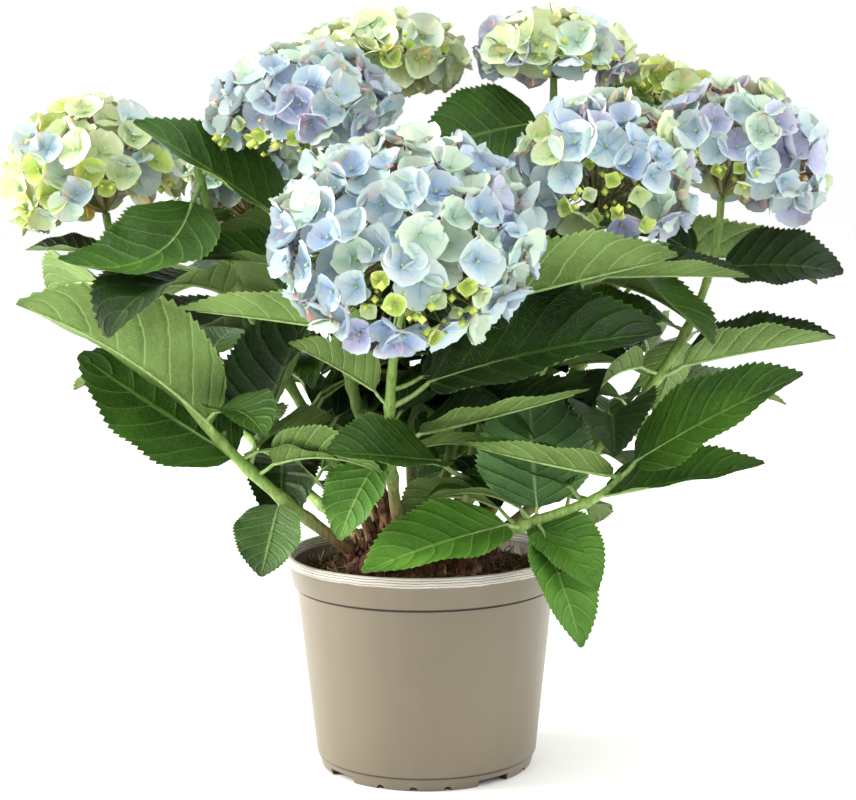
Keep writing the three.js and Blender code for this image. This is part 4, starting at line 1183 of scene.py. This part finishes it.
def add_floret(heap, centre, facing, size, bend, shade, chance, cell):
    """Four broad sepals, each over the edge of the next, that bend up into a cup round a bead."""
    first, second = axes_across(facing)
    spin = chance.uniform(0, math.pi / 2)
    frill = chance.uniform(0.01, 0.05)
    for number in range(4):
        turn = spin + number * math.pi / 2 + chance.normal(0, 0.09)
        along = first * math.cos(turn) + second * math.sin(turn)
        across = second * math.cos(turn) - first * math.sin(turn)
        share = size * chance.uniform(0.86, 1.08)
        bent = max(bend * chance.uniform(0.75, 1.25), 0.05)
        x = ALONG[:, None] - 0.09 * ACROSS[None, :] ** 2 * ALONG[:, None]
        x = x + frill * np.cos(np.pi * 2 * ACROSS + turn)[None, :] * (ALONG[:, None] > 0.9)
        y = SEPAL_HALF[:, None] * ACROSS[None, :] * chance.uniform(0.9, 1.12)
        lift = (1 - np.cos(bent * x)) / bent + (0.12 + 0.3 * bent) * y**2 * (0.4 + 0.6 * x)
        lift = lift + 0.1 * y * (1 if number % 2 else -1) + frill * np.sin(9 * y + turn * 5) * x
        out = np.sin(bent * x) / bent
        grid = out[..., None] * along + y[..., None] * (1 - 0.25 * bent * x[..., None]) * across
        points = centre + share * (grid + lift[..., None] * facing)
        places = baked(SEPAL_PLACES, cell * 4 + number, PETAL_SHEET)
        heap.add(points.reshape(-1, 3), SEPAL_QUADS, shade, petal=SEPAL_PLACES, OFBake=places)
    add_ball(heap, centre + facing * size * 0.1, size * 0.085, BEAD, cell)


def add_ball(heap, centre, radius, shade, cell):
    """A closed bud: an eight-sided bead."""
    middle = np.full((len(BEAD_POINTS), 2), 0.35)
    places = baked(middle, 4 * cell, PETAL_SHEET)
    heap.add(centre + BEAD_POINTS * radius, BEAD_FACES, shade, petal=middle, OFBake=places)


def add_stalk(heap, start, end, radius):
    """A floret's thin stalk, which sags a little and tapers."""
    middle = (start + end) / 2 + (0, 0, -0.06 * np.linalg.norm(end - start))
    points, faces, where = tube([start, middle, end], [radius, radius * 0.8, radius * 0.6], 4)
    places = baked(where, PETAL_SHEET**2 - 1, PETAL_SHEET)
    heap.add(points, faces, PEDICEL, petal=where, OFBake=places)


petal_finishes = []
for name, (claw, middle, rim) in PETAL_COLOURS.items():
    petal = Finish(name, Roughness=0.6, Subsurface_Weight=0.5, Subsurface_Scale=0.006)
    along = petal.node("UVMap", {"uv_map": "petal"})
    out = petal.axis(along, "X")
    off = abs(petal.axis(along, "Y") - 0.5) * 2
    cloud = petal.noise(petal.place(), 42, 3)
    vein = petal.noise(petal.stretched(along, (3, 34, 1)), 1.0, 3)
    tone = petal.blend((out + cloud * 0.5 - 0.25).step(0.0, 0.62), colour(claw), colour(middle))
    margin = (out ** 3).maths("MAXIMUM", out ** 3, off ** 4)
    tone = petal.blend((margin + cloud * 0.5 - 0.25).step(0.08, 0.7), tone, colour(rim))
    tone = petal.blend(vein.step(0.52, 0.75) * 0.25, tone, colour(claw))
    petal.dress(Base_Color=tone)
    petal.emboss(vein + (1 - off.step(0.0, 0.12)) * 0.5, 0.0004)
    petal_finishes.append(petal)
pedicel = Finish("flower_stalk", Roughness=0.6)
pedicel.mottle(60, "93a35a", "a38a6a")
bead = Finish("floret_bead", Roughness=0.5)
bead.mottle(120, "8fae5a", "c9d98c")
flower_finishes = [*petal_finishes, pedicel, bead]

for head_index, shoot in enumerate(SHOOTS):
    head = shoot.get("bloom")
    if not head:
        continue
    chance = np.random.default_rng(100 + head_index)
    shades, young_side, young_spread = HEADS[shoot["name"]]
    young_side = np.array(young_side) / np.linalg.norm(young_side)
    heap = Heap()
    axis = shoot["axis"]
    count = round(CROWDING * (head["radius"] / FLORET) ** 2 * head["dome"] ** 0.3)
    stalk = along_shoot(shoot, np.linspace(0.9, 1, 4))
    pale = MINT if shades[0][0] in (BLUE, SKY, MINT) else CREAM
    for index in range(count):
        slope = math.acos(1 - (index + 0.5) / count * COVER)
        turn = index * GOLDEN_TURN
        age = chance.uniform(0, 1)
        reach = 0.97 - 0.16 * chance.uniform(0, 1) ** 2
        point, facing = dome_point(head, axis, slope, turn, reach)
        youth = young_spread - np.linalg.norm(facing - young_side) + chance.normal(0, 0.16)
        young = youth > 0
        facing = facing + chance.normal(0, 0.24, 3)
        facing /= np.linalg.norm(facing)
        size = FLORET * chance.uniform(*FLORET_SIZES)
        bend = chance.uniform(*OPEN_BEND)
        shade = int(chance.choice([s for s, _ in shades], p=[share for _, share in shades]))
        if facing[2] > chance.uniform(0.3, 1.6):
            shade = pale
        if shoot["name"] == "upper_left" and np.dot(facing, BLUSH_SIDE) > BLUSH_CLOSENESS:
            shade = MAUVE
        if young:
            size *= chance.uniform(*YOUNG_SIZES)
            bend = chance.uniform(*YOUNG_BEND)
            shade = LIME if age < YOUNG_LIME else CREAM
        point = point - facing * size * FLORET_SINK
        add_floret(heap, point, facing, size, bend, shade, chance, index)
        root = dome_point(head, axis, slope, turn, FORK_REACH)[0]
        add_stalk(heap, root, point, 0.7)
        if index % FORK_STEP == 0:
            add_stalk(heap, stalk[-1] + axis * 1.5, root, 1.5)
        if young:
            for _ in range(BUDS):
                spot = point + facing * chance.uniform(-7, 6) + chance.normal(0, 6, 3)
                add_ball(heap, spot, chance.uniform(*BUD_RADIUS), LIME, index)
    heap.points = [points * MM for points in heap.points]
    blossom = heap.piece(f"blossom_{shoot['name']}", flower_finishes)
    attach(blossom, "root")
    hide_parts(f"bloom_{shoot['name']}")
